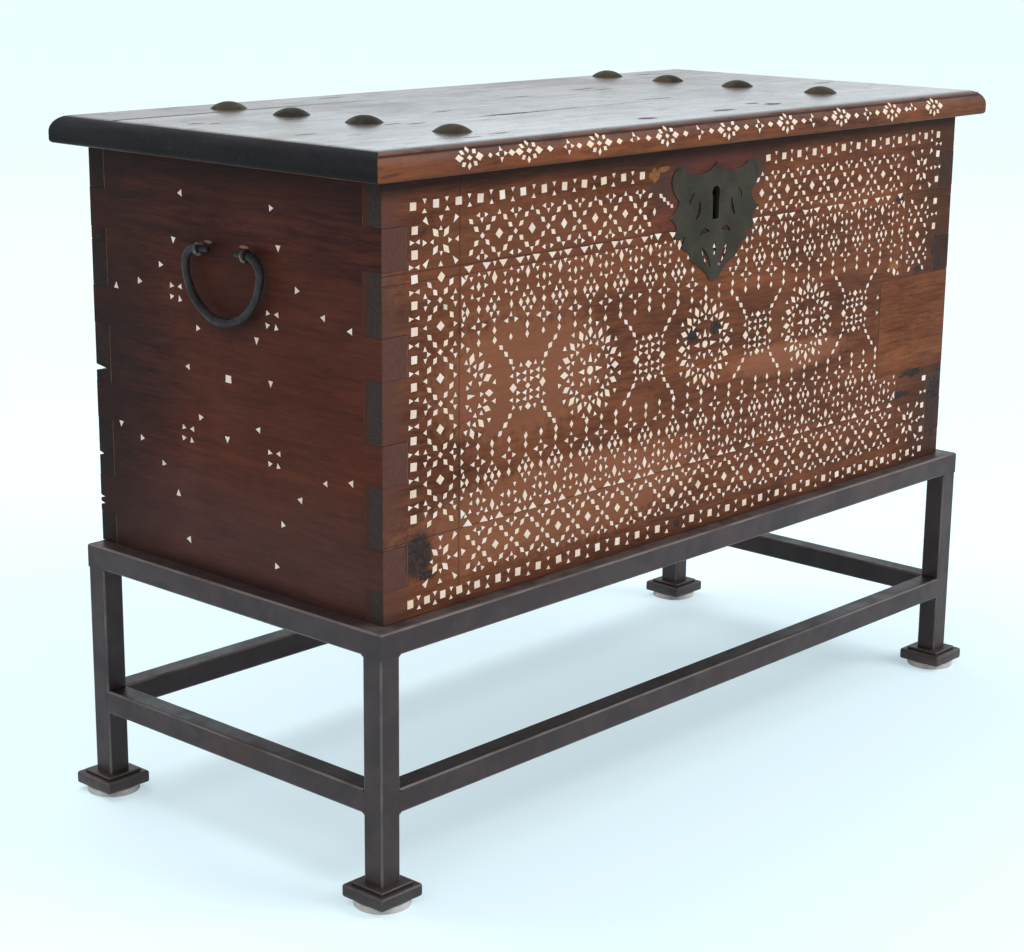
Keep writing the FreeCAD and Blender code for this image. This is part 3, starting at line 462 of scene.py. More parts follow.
# Cracks and stains of the lid's top: across, down, half length and half width in millimetres, and raggedness
LID_MARKS = [
    (362, 304, 52, 5, 1.6), (430, 303, 60, 2, 1.5), (428, 431, 15, 8, 1.8), (563, 427, 18, 6, 1.8),
    (652, 398, 10, 6, 1.8), (665, 417, 14, 7, 1.8), (560, 302, 90, 1.2, 1.4), (52, 170, 12, 3, 1.8),
    (66, 182, 8, 2.5, 1.8), (192, 300, 12, 3, 1.6), (216, 312, 14, 3, 1.6), (60, 318, 16, 3, 1.8),
    (205, 432, 14, 3, 1.8), (160, 440, 12, 2.5, 1.8), (352, 42, 18, 3, 1.6), (890, 48, 20, 4, 1.6),
    (655, 148, 20, 4, 1.6), (672, 165, 16, 3, 1.6), (325, 240, 14, 2.5, 1.6), (520, 170, 22, 2.5, 1.6),
    (960, 280, 22, 3, 1.6), (620, 288, 36, 3, 1.6),
]
# The fine lines of the lid's front edge, how far in they run, and their width and the seam's
LID_LINES, LID_LINE_WIDTH, SEAM_WIDTH = (0.0105, 0.0052), 0.0030, 0.0100


def lid_wood(name, shift):
    """Polished lid: bright from handling on top, with cracks and stains, black ends, a reddish front edge."""
    look = Finish(name)
    x, y, z = look.split(look.place)
    top, fibres = look.wood(LID_TONES, shift)
    from_end = look.less(LID_HIGH.x, look.math("ABSOLUTE", x))
    from_front = look.less(y, LID_LOW.y)
    mitre = look.ease(look.less(from_front, from_end), -0.0006, 0.0006)
    near_front = look.ease(from_front, 0.0105, 0.0085)
    near_end = look.ease(from_end, 0.0125, 0.0105)
    rim = look.any_of(near_front, near_end)
    ends = look.times(near_end, mitre)

    look.colour = look.wood(LID_EDGE_TONES, (0.4, 0.2, 0.1))[0]
    look.stain(look.near(x, LID_LOW.x, 160, 20), (0.270, 0.086, 0.036), 0.55)
    # Painted sheen: the front edge's rounded upper part is lighter and greyer.
    upper = look.near(z, LID_TOP, -16, -5)
    look.stain(upper, (0.180, 0.105, 0.085), 0.45)
    soot = look.grain(look.place, (30, 70, 70), 5.0, 0.65, shift=(0.6, 0.1, 0.4))
    look.stain(look.times(upper, look.ease(soot, 0.50, 0.66, 0.0, 0.6)), (0.040, 0.020, 0.015))
    front_edge = look.less(near_front, look.times(near_front, mitre))
    look.colour = look.mix(front_edge, top, look.colour)
    lines = look.any_of(*[look.line(from_front, at, LID_LINE_WIDTH) for at in LID_LINES])
    lines = look.times(lines, look.less(1.0, mitre), look.near(z, LID_TOP, -14, -11))
    look.stain(lines, (0.022, 0.011, 0.009), 0.85)

    seam = look.times(look.line(y, LID_BACK_LOW.y, SEAM_WIDTH),
                      look.near(x, LID_LOW.x, 420, 150, 0.25, 1.0))
    marks = look.any_of(*[look.spot(lid_point(across, down), (wide * MM, tall * MM, 0.5), ragged)
                          for across, down, wide, tall, ragged in LID_MARKS])
    flecks = look.grain(look.place, (22, 190, 190), 4.0, 0.6, shift=(0.3, 0.7, 0.1))
    dark = look.any_of(marks, seam, look.times(look.ease(flecks, 0.60, 0.70), 0.55))
    dark = look.times(dark, look.less(1.0, ends))
    look.stain(dark, (0.016, 0.012, 0.012), 0.85)
    dull = look.grain(look.place, (120, 14, 60), 5.0, 0.65)
    look.stain(ends, look.two_tone(dull, 0.35, 0.7, (0.013, 0.012, 0.014), (0.020, 0.019, 0.021)))
    low_end = look.times(ends, look.near(z, LID_LOW.z, 16, 6))
    look.stain(low_end, (0.004, 0.003, 0.003), 0.6)
    rub = look.scratch(0.3, (0.20, 0.13, 0.10))
    roughness = look.plus(look.ease(rub, 0.0, 1.0, 0.26, 0.36), look.times(look.any_of(dark, rim), 0.18))
    under = look.bare_inside(z, LID_LOW.z)

    grime = look.grain(look.place, (5, 60, 60), 6.0, 0.65, 0.5)
    threads = look.grain(look.place, (16, 320, 320), 4.0, 0.6, shift=(0.1, 0.2, 0.3))
    behind_seam = look.near(y, LID_BACK_LOW.y, -1, 1)
    dulled = look.times(behind_seam, look.near(x, LID_LOW.x, 100, 450, 0.38, 0.04))
    polish = look.times(
        look.ease(grime, 0.36, 0.66, 1.0, 0.72),
        look.ease(threads, 0.46, 0.70, 1.0, 0.80),
        look.ease(y, LID_LOW.y + 0.01, LID_BACK_LOW.y, 1.0, 0.56),
        look.near(x, LID_LOW.x, 150, 800, 1.0, 0.82),
        *[look.less(1.0, mask) for mask in (dulled, look.times(dark, 0.9), rim, under)])
    height = look.less(fibres, look.times(look.any_of(dark, lines), 2.4))
    return look.done(roughness, height, 0.22, 0.35, Specular_IOR_Level=0.1, Coat_Weight=polish, Coat_Roughness=0.15,
                     Coat_IOR=2.0)


def plain_wood(name, tones, shift, roughness=(0.42, 0.6), inner=None):
    """Grain along X, with dark end grain."""
    look = Finish(name)
    look.colour, height = look.wood(tones, shift)
    look.stain(look.end_grain(0), look.finger_grain((0.013, 0.011, 0.011), (0.026, 0.020, 0.019)), 0.85)
    if inner is not None:
        look.bare_inside(look.split(look.place)[1], inner)
    rub = look.scratch(0.2, [min(1.0, 1.9 * part) for part in tones[2]])
    return look.done(look.ease(rub, 0.0, 1.0, *roughness), height, 0.35, 0.45, Specular_IOR_Level=0.05)


# Shell, metals and the rest

def shell_finish():
    """Cream to pink shell: each chip has its own tone, and growth lines run through it."""
    look = Finish("shell")
    tone = look.add("Attribute", attribute_name="tone").outputs["Fac"]
    lines = look.grain(look.place, (420, 420, 90), 3.0, 0.6, 0.5, turn=(0.3, 0.8, 0.4))
    look.colour = look.two_tone(tone, 0.00, 0.35, (0.960, 0.830, 0.715), (0.880, 0.670, 0.560))
    look.stain(look.ease(tone, 0.40, 0.70), (0.900, 0.710, 0.520))
    look.stain(look.ease(tone, 0.92, 0.99), (0.540, 0.380, 0.300))
    look.stain(look.ease(lines, 0.45, 0.8, 0.0, 0.25), (0.600, 0.440, 0.340))
    return look.done(look.ease(lines, 0.3, 0.7, 0.26, 0.40), lines, 0.12, 0.3, Specular_IOR_Level=0.25)


def mastic_finish():
    """The dark filling that the chips are bedded in."""
    look = Finish("mastic")
    grain = look.noise(look.place, 600.0, 3.0, 0.6)
    look.colour = look.two_tone(grain, 0.3, 0.7, (0.040, 0.022, 0.014), (0.080, 0.042, 0.025))
    return look.done(look.ease(grain, 0.3, 0.7, 0.5, 0.7), grain, 0.2, 0.4, Specular_IOR_Level=0.2)


def metal_finish(name, tones, scratch=0.2, rough_shift=0.0, distance=0.25, strength=0.35, dust_and_reflection=None, rubbed=None,
                 **plain):
    """Tarnished metal; where asked, a dusty tint that is also a painted reflection of the chest's front on the rail's
    front ledge, painted shade on the upward faces below the rails, and lighter rounded corners, partly rubbed bare
    and partly a painted highlight.
    """
    look = Finish(name)
    look.colour, roughness, height = look.group(patina, look.place, *tones)
    look.scratch(scratch, [min(1.0, 2.2 * part + 0.015) for part in tones[0]])
    if dust_and_reflection is not None:
        _, y, z = look.split(look.place)
        upward = look.ease(look.normal(2), 0.75, 0.98)
        on_rail = look.near(z, CHEST_BOTTOM, -50, -30)
        in_front = look.near(y, CHEST_FRONT, 30, 10)
        blotches = look.ease(look.noise(look.place, 45.0, 5.0, 0.65), 0.3, 0.65)
        # A dusty tint that is also a painted reflection of the chest's front, on the rail's ledge in front of the
        # chest.
        look.stain(look.times(upward, on_rail, in_front, blotches), dust_and_reflection)
        # Painted shade on the upward faces below the rails, under the chest.
        look.stain(look.less(upward, look.times(upward, on_rail)), (0.013, 0.010, 0.010), 0.75)
    if rubbed is not None:
        # Lighter rounded corners: partly rubbed bare, partly a painted highlight along the edges.
        corner = look.ease(look.any_of(*[look.facing(axis) for axis in range(3)]), 0.985, 0.900)
        wear_and_highlight = look.ease(look.noise(look.place, 16.0, 4.0, 0.6), 0.35, 0.60, 0.35, 1.0)
        look.stain(look.times(corner, wear_and_highlight), rubbed)
    return look.done(look.plus(roughness, rough_shift), height, distance, strength, **plain)


def worn_iron_finish():
    """The handles' eyes: dark iron with bare, pinkish worn places."""
    look = Finish("worn eye iron")
    look.colour, roughness, height = look.group(
        patina, look.place, (0.040, 0.041, 0.044), (0.022, 0.022, 0.024), (0.060, 0.034, 0.024))
    look.stain(look.ease(look.noise(look.place, 190.0, 3.0, 0.55), 0.50, 0.60), (0.330, 0.230, 0.190), 0.8)
    return look.done(roughness, height, 0.3, 0.5, Specular_IOR_Level=0.4)


def felt_finish():
    look = Finish("felt pad")
    fuzz = look.noise(look.place, 900.0, 4.0, 0.7)
    stain = look.noise(look.place, 60.0, 3.0, 0.6)
    look.colour = look.two_tone(fuzz, 0.3, 0.7, (0.60, 0.55, 0.52), (0.76, 0.72, 0.69))
    look.stain(look.ease(stain, 0.45, 0.7, 0.0, 0.6), (0.46, 0.41, 0.38))
    return look.done(look.ease(fuzz, 0.3, 0.7, 0.82, 0.95), fuzz, 0.5, 0.6)


FRONT_UPPER = front_wood("front upper wood", (0.0, 0.0, 0.0))
FRONT_LOWER = front_wood("front lower wood", (0.37, 0.0, 0.23))
LEFT_END = end_wood("left end wood", (0.0, 0.0, 0.0), (0.122, 0.053, 0.042), (0.102, 0.044, 0.035))
RIGHT_END = end_wood("right end wood", (0.7, 0.3, 0.4), (0.062, 0.029, 0.022), (0.036, 0.020, 0.016))
BACK_WOOD = plain_wood("back wood", [(0.085, 0.034, 0.023), (0.040, 0.018, 0.014), (0.140, 0.052, 0.029)],
                       (0.2, 0.6, 0.5), inner=BACK_LOW.y)
INSIDE_WOOD = plain_wood("inside wood", INSIDE_TONES, (0.5, 0.1, 0.9), (0.6, 0.75))
PATCH_WOOD = plain_wood("patch wood", [(0.190, 0.064, 0.028), (0.120, 0.040, 0.019), (0.250, 0.090, 0.038)],
                        (0.9, 0.4, 0.3))
LID_FRONT_WOOD = lid_wood("lid wood", (0.1, 0.5, 0.3))
LID_BACK_WOOD = lid_wood("lid back wood", (0.8, 0.15, 0.7))
SHELL = shell_finish()
MASTIC = mastic_finish()
STEEL_TONES = [(0.054, 0.036, 0.036), (0.040, 0.028, 0.029), (0.066, 0.032, 0.027)]
# Its last two colours: a dusty tint that is also a painted reflection of the chest's front, and corners partly rubbed
# bare and partly painted as highlights.
STEEL = metal_finish("waxed steel", STEEL_TONES, 0.05, -0.04, 0.08, 0.2, (0.100, 0.080, 0.074),
                     (0.170, 0.135, 0.128), Specular_IOR_Level=0.26)
WELD_STEEL = metal_finish("weld steel", STEEL_TONES, 0.05, -0.04, 0.08, 0.2, Specular_IOR_Level=0.26)
# Its last colour: corners partly rubbed bare and partly painted as highlights.
FOOT_STEEL = metal_finish("foot steel", [(0.056, 0.038, 0.036), (0.036, 0.026, 0.026), (0.060, 0.034, 0.028)],
                          0.08, 0.0, 0.2, 0.3, None, (0.095, 0.076, 0.072), Specular_IOR_Level=0.4)
BRONZE = metal_finish("lock bronze", [(0.042, 0.034, 0.022), (0.030, 0.026, 0.017), (0.036, 0.025, 0.016)],
                      0.18, 0.12, 0.35, 0.5, Specular_IOR_Level=0.15)
BOSS_METAL = metal_finish("boss bronze", [(0.062, 0.050, 0.031), (0.025, 0.022, 0.016), (0.070, 0.043, 0.022)],
                          0.2, 0.05, 0.5, 0.5, Specular_IOR_Level=0.12)
# The lock plate's eased edges: lighter bronze, partly rubbed bare and partly a painted highlight.
BRIGHT_EDGE = metal_finish("rubbed bronze edge",
                           [(0.250, 0.215, 0.165), (0.050, 0.045, 0.033), (0.120, 0.095, 0.066)], 0.2, 0.0, 0.3, 0.4)
IRON = metal_finish("hinge iron", [(0.050, 0.047, 0.046), (0.030, 0.028, 0.027), (0.070, 0.036, 0.022)], Metallic=0.5)
HANDLE_IRON = metal_finish("handle iron", [(0.040, 0.036, 0.036), (0.014, 0.013, 0.013), (0.026, 0.019, 0.016)],
                           0.35, 0.05, 0.7, 0.7, Specular_IOR_Level=0.25)
EYE_IRON = worn_iron_finish()
FELT = felt_finish()


# Boards and other CAD pieces with eased edges

def new_object(name, mesh):
    piece = bpy.data.objects.new(name, mesh)
    bpy.context.scene.collection.objects.link(piece)
    return piece


SAME_PLACE, SAME_PLANE = 0.00001, math.radians(0.5)
BROAD_FACE = 600 * MM * MM


def merged_copy(label, ending):
    """A copy of a CAD piece with its loose triangles joined up."""
    piece = new_object(label + ending, nodes[label].data.copy())
    pick(piece)
    edit_mode(True)
    bpy.ops.mesh.select_all(action="SELECT")
    bpy.ops.mesh.remove_doubles(threshold=SAME_PLACE)
    bpy.ops.mesh.dissolve_limited(angle_limit=SAME_PLANE)
    edit_mode(False)
    return piece


def eased_copy(label, finishes, width, segments=2):
    """A copy of a CAD piece with its edges eased in the last of the finishes, its broad faces kept flat."""
    piece = dress(merged_copy(label, "_eased"), *finishes)
    apply_modifier(piece, "BEVEL", width=width * MM, segments=segments, limit_method="ANGLE",
                   angle_limit=math.radians(40), miter_outer="MITER_ARC", use_clamp_overlap=True,
                   material=len(finishes) - 1)
    pick(piece)
    bpy.ops.object.shade_smooth_by_angle(angle=math.radians(50))
    for face in piece.data.polygons:
        face.use_smooth = face.area < BROAD_FACE
    return piece


WEDGE_TIP = 0.12


def chip_corner(board, chips):
    """Cut chips out of the back left corner: how far down, and how deep, wide and tall in millimetres."""
    for down, deep, wide, tall in chips:
        middle = (CHEST_LEFT + deep / 2 * MM - MM, CHEST_BACK - wide / 2 * MM + MM, CHEST_TOP - down * MM)
        bpy.ops.mesh.primitive_cube_add(size=1, location=middle, scale=(deep * MM, wide * MM, tall * MM))
        wedge = new_piece("corner_chip")
        for vertex in wedge.data.vertices:
            if vertex.co.y < middle[1]:
                vertex.co.z = middle[2] + (vertex.co.z - middle[2]) * WEDGE_TIP
        apply_modifier(board, "BOOLEAN", operation="DIFFERENCE", object=wedge, solver="EXACT")
        bpy.data.objects.remove(wedge)


# A bail: the share of its height where the pins end and where the grip is free, and dents by depth and closeness
PIN_END, PIN_FADE = 0.16, 0.14
DENTS = ((0.6, 70), (0.3, 210))


def forged_handle(label):
    """The bail with the uneven skin of forged iron, thickest in the grip, its pins left round."""
    bail = merged_copy(label, "_forged")
    apply_modifier(bail, "REMESH", mode="VOXEL", voxel_size=0.8 * MM)
    apply_modifier(bail, "SMOOTH", factor=0.5, iterations=6)
    low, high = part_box(label)
    tall = high.z - low.z
    for vertex in bail.data.vertices:
        below = (high.z - vertex.co.z) / tall
        free = min(1.0, max(0.0, (below - PIN_END) / PIN_FADE))
        hammered = sum(deep * noise.noise(vertex.co * close) for deep, close in DENTS)
        girth = -1.0 + 1.35 * below ** 2
        vertex.co += vertex.normal * (hammered + girth) * free * MM
    pick(bail)
    bpy.ops.object.shade_smooth()
    return bail


# Each board's finish, slot and eased edge in millimetres
BOARDS = {
    "front_upper_board": (FRONT_UPPER, "chest_wood", 0.8),
    "front_lower_board": (FRONT_LOWER, "chest_wood", 0.8),
    "back_upper_board": (BACK_WOOD, "chest_wood", 0.8),
    "back_lower_board": (BACK_WOOD, "chest_wood", 0.8),
    "left_end_board": (LEFT_END, "chest_wood", 0.8),
    "right_end_board": (RIGHT_END, "chest_wood", 0.8),
    "front_patch": (PATCH_WOOD, "patch_wood", 0.5),
}
CORNER_CHIPS = {
    "back_lower_board": [(231, 26, 20, 7), (323, 9, 8, 5)],
    "left_end_board": [(370, 8, 7, 4), (377, 8, 8, 4)],
}
for board_label, (board_finish, board_slot, board_edge) in BOARDS.items():
    board = eased_copy(board_label, [board_finish], board_edge)
    chip_corner(board, CORNER_CHIPS.get(board_label, []))
    settle(board, "chest", board_slot, board_label)

for foot in ("front_left", "front_right", "back_left", "back_right"):
    for part, width in (("foot_plate", 2.6), ("foot_collar", 2.0)):
        label = f"{part}_{foot}"
        settle(eased_copy(label, [FOOT_STEEL], width, 3), "chest", "foot_steel", label)
settle(eased_copy("lock_plate", [BRONZE, BRIGHT_EDGE], 0.5), "chest", "plate_brass", "lock_plate")
for side_handle in ("handle_left", "handle_right"):
    settle(dress(forged_handle(side_handle), HANDLE_IRON), side_handle, "handle_iron", side_handle)

NODE_FINISHES = [
    (("leg_", "top_rail_", "stretcher_"), STEEL),
    (("weld_beads",), WELD_STEEL),
    (("glide_pad_",), FELT),
    (("bottom_",), INSIDE_WOOD),
    (("lid_front_board",), LID_FRONT_WOOD),
    (("lid_back_board",), LID_BACK_WOOD),
    (("lid_boss_",), BOSS_METAL),
    (("lid_strap_", "back_leaf_", "hinge_pin_", "lid_staple", "lock_case", "lock_bolt", "bolt_spring"), IRON),
    (("handle_eyes_",), EYE_IRON),
]
for label, item in nodes.items():
    for starts, finish in NODE_FINISHES:
        if label.startswith(starts):
            dress(item, finish)


# Shell inlay

def chip_blank(name, corners, turn, width, height, drop=0.0):
    """A flat chip, one unit across and one unit high about its middle."""
    bpy.ops.mesh.primitive_circle_add(vertices=corners, radius=0.5, fill_type="NGON", rotation=(0, 0, turn))
    blank = new_piece(name)
    edit_mode(True)
    bpy.ops.mesh.select_all(action="SELECT")
    bpy.ops.transform.resize(value=(1 / width, 1 / height, 1))
    bpy.ops.transform.translate(value=(0, -drop, 0))
    edit_mode(False)
    blank.data.attributes.new("tone", "FLOAT", "FACE")
    return blank


BLANKS = {
    "square": chip_blank("square_chip", 4, math.radians(45), math.sqrt(0.5), math.sqrt(0.5)),
    "rhomb": chip_blank("rhomb_chip", 4, 0.0, 1.0, 1.0),
    "triangle": chip_blank("triangle_chip", 3, 0.0, math.sqrt(0.75), 0.75, 1 / 6),
    "disc": chip_blank("disc_chip", 9, 0.0, 1.0, 1.0),
}
TONES = {"square": (0.0, 0.95), "rhomb": (0.1, 0.96), "triangle": (0.0, 0.55), "disc": (0.5, 0.8)}
# A chip in millimetres: its dark rim, slanted edge and rise, then how far it lies above the wood, astray and uneven
BED, SLANT, RISE = 0.38, 0.14, 0.25
ABOVE_WOOD, ASTRAY, UNEVEN = 0.05, 0.4, 0.25
# How far its size varies, how many degrees it is turned at most, and its size at the left of a face
CUT_SIZE, CUT_TURN, SIZE_AT_LEFT = (0.92, 1.06), 5, 1.03


def inner_radius(kind, width, height):
    """The radius of the largest circle inside a chip."""
    if kind == "triangle":
        return width * height / (width + 2 * math.hypot(height, width / 2))
    if kind == "rhomb":
        return width * height / (2 * math.hypot(width, height))
    return min(width, height) / 2


def way_of(right, down):
    """The clockwise turn, in degrees, from up to a direction on the face."""
    return math.degrees(math.atan2(right, -down))


def around(across, down, turn, far):
    """The place at a distance from another, in a direction turned clockwise from up."""
    angle = math.radians(turn)
    return across + far * math.sin(angle), down - far * math.cos(angle)


class Inlay:
    """Chips laid on one face of the chest, gathered and then bedded and raised together."""

    def __init__(self, corner, right, taper=0.0):
        self.corner, self.right, self.up = Vector(corner), Vector(right), Vector((0, 0, 1))
        self.out = self.right.cross(self.up)
        self.chips = []
        self.bare = []
        self.taper = taper

    def lay(self, kind, across, down, width, height, turn=0.0, loss=0.006):
        """One chip at millimetres from the face's top left corner, turned clockwise, cut by hand."""
        if any(l < across < r and t < down < b for l, t, r, b in self.bare) or hand.random() < loss:
            return
        across += hand.uniform(-ASTRAY, ASTRAY)
        down += hand.uniform(-ASTRAY, ASTRAY)
        angle = -math.radians(turn + hand.uniform(-CUT_TURN, CUT_TURN))
        trim = SIZE_AT_LEFT - self.taper * across
        width *= hand.uniform(*CUT_SIZE) * trim
        height *= hand.uniform(*CUT_SIZE) * trim
        inner = inner_radius(kind, width, height)
        grow = (inner + BED) / inner
        lift = (grow - 1) * (height / 2 - inner) if kind == "triangle" else 0.0
        middle = self.corner + self.right * across * MM - self.up * down * MM + self.out * ABOVE_WOOD * MM
        basis = Matrix((self.right, self.up, self.out)).transposed().to_4x4()
        shape = Matrix.Diagonal((width * grow * MM, height * grow * MM, 1, 1))
        shape = Matrix.Translation((0, lift * MM, 0)) @ shape
        mesh = BLANKS[kind].data.copy()
        mesh.transform(Matrix.Translation(middle) @ basis @ Matrix.Rotation(angle, 4, "Z") @ shape)
        for vertex in mesh.vertices:
            vertex.co += (self.right * hand.uniform(-UNEVEN, UNEVEN) + self.up * hand.uniform(-UNEVEN, UNEVEN)) * MM
        mesh.attributes["tone"].data[0].value = hand.uniform(*TONES[kind])
        self.chips.append(new_object("chip", mesh))

    def pair(self, kind, across, down, off, width, height, turn=0.0):
        """A chip either side of an axis, the left one the mirror of the right one."""
        for side in (-1, 1):
            self.lay(kind, across + side * off, down, width, height, side * turn)

    def bed(self, name):
        """Join the chips, leave a dark rim round each, and raise its face a little."""
        pick(*self.chips)
        bpy.ops.object.join()
        piece = dress(bpy.context.object, MASTIC, SHELL)
        piece.name = piece.data.name = name
        edit_mode(True)
        bpy.ops.mesh.select_mode(type="FACE")
        bpy.ops.mesh.select_all(action="SELECT")
        bpy.ops.mesh.inset(thickness=BED * MM, depth=0, use_individual=True)
        piece.active_material_index = 1
        bpy.ops.object.material_slot_assign()
        bpy.ops.mesh.inset(thickness=SLANT * MM, depth=RISE * MM, use_individual=True)
        edit_mode(False)
        return piece


# The front, in millimetres across and down from its top left corner.
# Borders: whether upright, the line they keep to as start, drift and origin, the size of a square, the rows of
# squares with a pair of triangles between each two, and lone pairs
BORDERS = [
    (False, 27.5, -0.0062, 40, 8.0, [
        [40 + 29.8 * index for index in range(12)],
        [583, 612, 640, 669, 697, 725.5, 755, 786, 815, 840, 869.5, 896, 923]], ()),
    (False, 404, 0.0022, 36, 8.0, [
        [36, 58, 80, 102.5, 128, 158, 187, 217, 248.5, 278, 309, 341, 374, 408],
        [467, 499, 531, 562, 592, 623, 656.5, 684, 715, 743, 767.5, 791, 815, 838, 864, 893, 920]], (423.5, 453)),
    (True, 42.3, -0.009, 49, 7.8, [[49, 72, 94, 118, 143, 169, 194.5, 220, 245.5, 271, 296.5, 322]], ()),
    (True, 925, -0.014, 45, 7.8, [[45, 75, 101.5, 131], [317, 351, 380.5]], (33, 393)),
]
# Lattices: where the rows cross, the band's middle, whether it follows the slope, and whether it stands upright
LATTICES = [
    ([132, 179, 225.5, 272, 319, 366], 63, 1, False),
    ([550, 597, 644, 691, 738, 785, 833], 63, 1, False),
    ([130, 177, 223, 269.5, 316, 363, 409, 454, 499, 547, 596, 645, 692, 739, 786, 834], 368.5, 0, False),
    ([117 + 49.4 * index for index in range(5)], 76, 0, True),
    ([113, 163], 889, 0, True),
]
CORNER_FLOWERS = [(76.5, 62), (890, 60.5), (76, 368), (889, 368)]
UPPER_AXES = [150, 197, 244, 291, 338, 385, 432, 479.5, 526, 573.5, 620, 668, 714.5, 763, 811]
LOWER_AXES = [148, 196.5, 241, 288.5, 334, 383, 429, 477, 526, 574, 618, 667, 713.5, 762, 811]
OUTER_AXES = (128, 834)
FIELD_LEFT, FIELD_RIGHT = 104, 858
# What the place down of a chip and that of its mirror below come to together
FIELD_MIRROR = 431.8
# Chips of the two pendants: kind, distance off the axis, place down, width, height and turn of the right one
MAIN_PENDANT = [
    ("triangle", 0, 92, 5, 5, 180), ("triangle", 11.3, 92.7, 12.5, 6.6, 180), ("triangle", 8, 100.6, 5, 4.8, 180),
    ("triangle", 14.2, 103.4, 4.8, 4.6, 180), ("rhomb", 0, 104.5, 7, 13, 0), ("triangle", 0, 118.5, 5, 5, 0),
    ("triangle", 15.5, 118.5, 5, 5, 0), ("triangle", 5, 125, 5, 5, 0), ("rhomb", 0, 133, 6, 9, 0),
    ("rhomb", 9.5, 133, 6, 9, 0), ("triangle", 4.8, 140.5, 5.2, 5, 180), ("triangle", 0, 146.7, 5.5, 4.5, 180),
    ("rhomb", 0, 156, 5.5, 8.5, 0), ("rhomb", 0, 165.3, 6, 8.5, 0),
]
SIDE_PENDANT = [
    ("triangle", 0, 98.5, 5, 3.5, 0), ("rhomb", 0, 111, 5.5, 9, 0), ("triangle", 10.3, 111, 5, 5, 90),
    ("triangle", 0, 123.5, 6, 4.5, 180), ("rhomb", 0, 133, 6, 8.5, 0), ("triangle", 0, 142.3, 5, 5, 0),
    ("triangle", 8, 149, 5.5, 6.5, 90), ("triangle", 0, 156, 5, 4.5, 180), ("rhomb", 0, 165.3, 5.5, 8, 0),
]
# Half pendants at the field's edges: place down, width and height of each triangle
HALF_PENDANT = [(103, 10, 6), (118, 5, 4), (133, 8, 4.5), (145, 5, 4), (154, 7, 4), (164.5, 7, 4.5)]
ROSETTES, ROSETTE_DOWN, ROSETTE_RISE = (104, 292, 480.5, 668, 857), 215.6, 0.5
STARS, STAR_DOWN, STAR_RISE = [198.7 + 188 * index for index in range(4)], 216.3, 0.75
# Chips in the lock plate's gaps, and a chain beside the plate
PLATE_GAP_CHIPS = [(491.5, 109), (492, 117.5), (512, 111), (511.5, 117.5), (506.5, 124), (501, 131), (471, 115),
                   (475, 123.5)]
LOCK_CHAIN = [(399, 49.4), (405, 52.8), (411.4, 57.2), (417, 61)]
# Places without chips, as left, top, right and bottom: the repair, the lock, burns and lost chips
BARE_PLACES = [
    ((PATCH_LOW.x - CHEST_LEFT) / MM - 3, 184, 960, 305), (386, 0, 562, 86), (27, 340, 62, 383), (930, 325, 960, 372),
    (424, 80, 556, 100), (442, 96, 542, 116), (456, 110, 528, 132), (472, 125, 512, 148), (452, 194, 466, 208),
    (490, 192, 506, 207),
]
# How much smaller the front's chips get with each millimetre to the right
FRONT_TAPER = 0.00013


def slope(across):
    """The upper rows rise a little to the right."""
    return -0.0044 * (across - 130)


def hourglass(inlay, across, down):
    inlay.lay("triangle", across, down - 3.1, 5.5, 4.7, 180)
    inlay.lay("triangle", across, down + 4.7, 6.0, 4.7, 0)


def bow_tie(inlay, across, down):
    inlay.pair("triangle", across, down, 3.3, 5.0, 6.0, -90)


def border(inlay, upright, start, drift, origin, square, rows, lone_pairs):
    between = bow_tie if upright else hourglass

    def at(along):
        cross = start + drift * (along - origin)
        return (cross, along) if upright else (along, cross)

    for places in rows:
        for along in places:
            inlay.lay("square", *at(along), square, square)
        for first, second in zip(places, places[1:]):
            between(inlay, *at((first + second) / 2))
    for along in lone_pairs:
        between(inlay, *at(along))


def lattice(inlay, crossings, band, sloping, upright):
    """A band of crossing rows of rhombs, with a lozenge in each diamond."""

    def lay(kind, along, off, width, height, turn):
        if upright:
            inlay.lay(kind, band + off, along, width, height, 270 - turn)
        else:
            inlay.lay(kind, along, band + sloping * slope(along) + off, width, height, turn)

    for along in crossings:
        lay("rhomb", along, 0, 6.5, 6.5, 0)
        for side in (-1, 1):
            for ahead in (-1, 1):
                for step, off in ((7.8, 6.8), (15.5, 14.7)):
                    lay("rhomb", along + ahead * step, side * off, 8.8, 5.8, 41 * ahead * side)
                lay("triangle", along + ahead * 6.3, side * 20, 5.2, 5.0, 90 * ahead)
            lay("triangle", along, side * 14.5, 5.0, 5.0, 0 if side > 0 else 180)
    for first, second in zip(crossings, crossings[1:]):
        middle = (first + second) / 2
        lay("rhomb", middle, 0, 10, 10.5, 0)
        for side in (-1, 1):
            lay("triangle", middle, side * 20.8, 5.5, 5.0, 180 if side > 0 else 0)


def corner_flower(inlay, across, down):
    for right in (-1, 1):
        for low in (-1, 1):
            turn = way_of(right * 7.2, low * 8.2)
            inlay.lay("rhomb", across + right * 7.2, down + low * 8.2, 7, 12, turn)
            inlay.lay("triangle", across + right * 18.5, down + low * 18.5, 6, 9, turn + 180)
    for turn in (0, 90, 180, 270):
        inlay.lay("triangle", *around(across, down, turn, 12.5), 5, 4.5, turn)
        inlay.lay("triangle", *around(across, down, turn, 20.5), 6, 5.5, turn + 180)


def pendant(inlay, chips, across, below, sides=(-1, 1)):
    """One pendant hung from the upper rule, or stood on the lower one as its mirror."""
    for kind, off, down, width, height, turn in chips:
        for side in sides if off else (0,):
            at = across + side * off
            if not FIELD_LEFT < at < FIELD_RIGHT:
                continue
            way = turn * side if side else turn
            if below:
                inlay.lay(kind, at, FIELD_MIRROR - down, width, height, 180 - way)
            else:
                inlay.lay(kind, at, down + slope(at), width, height, way)


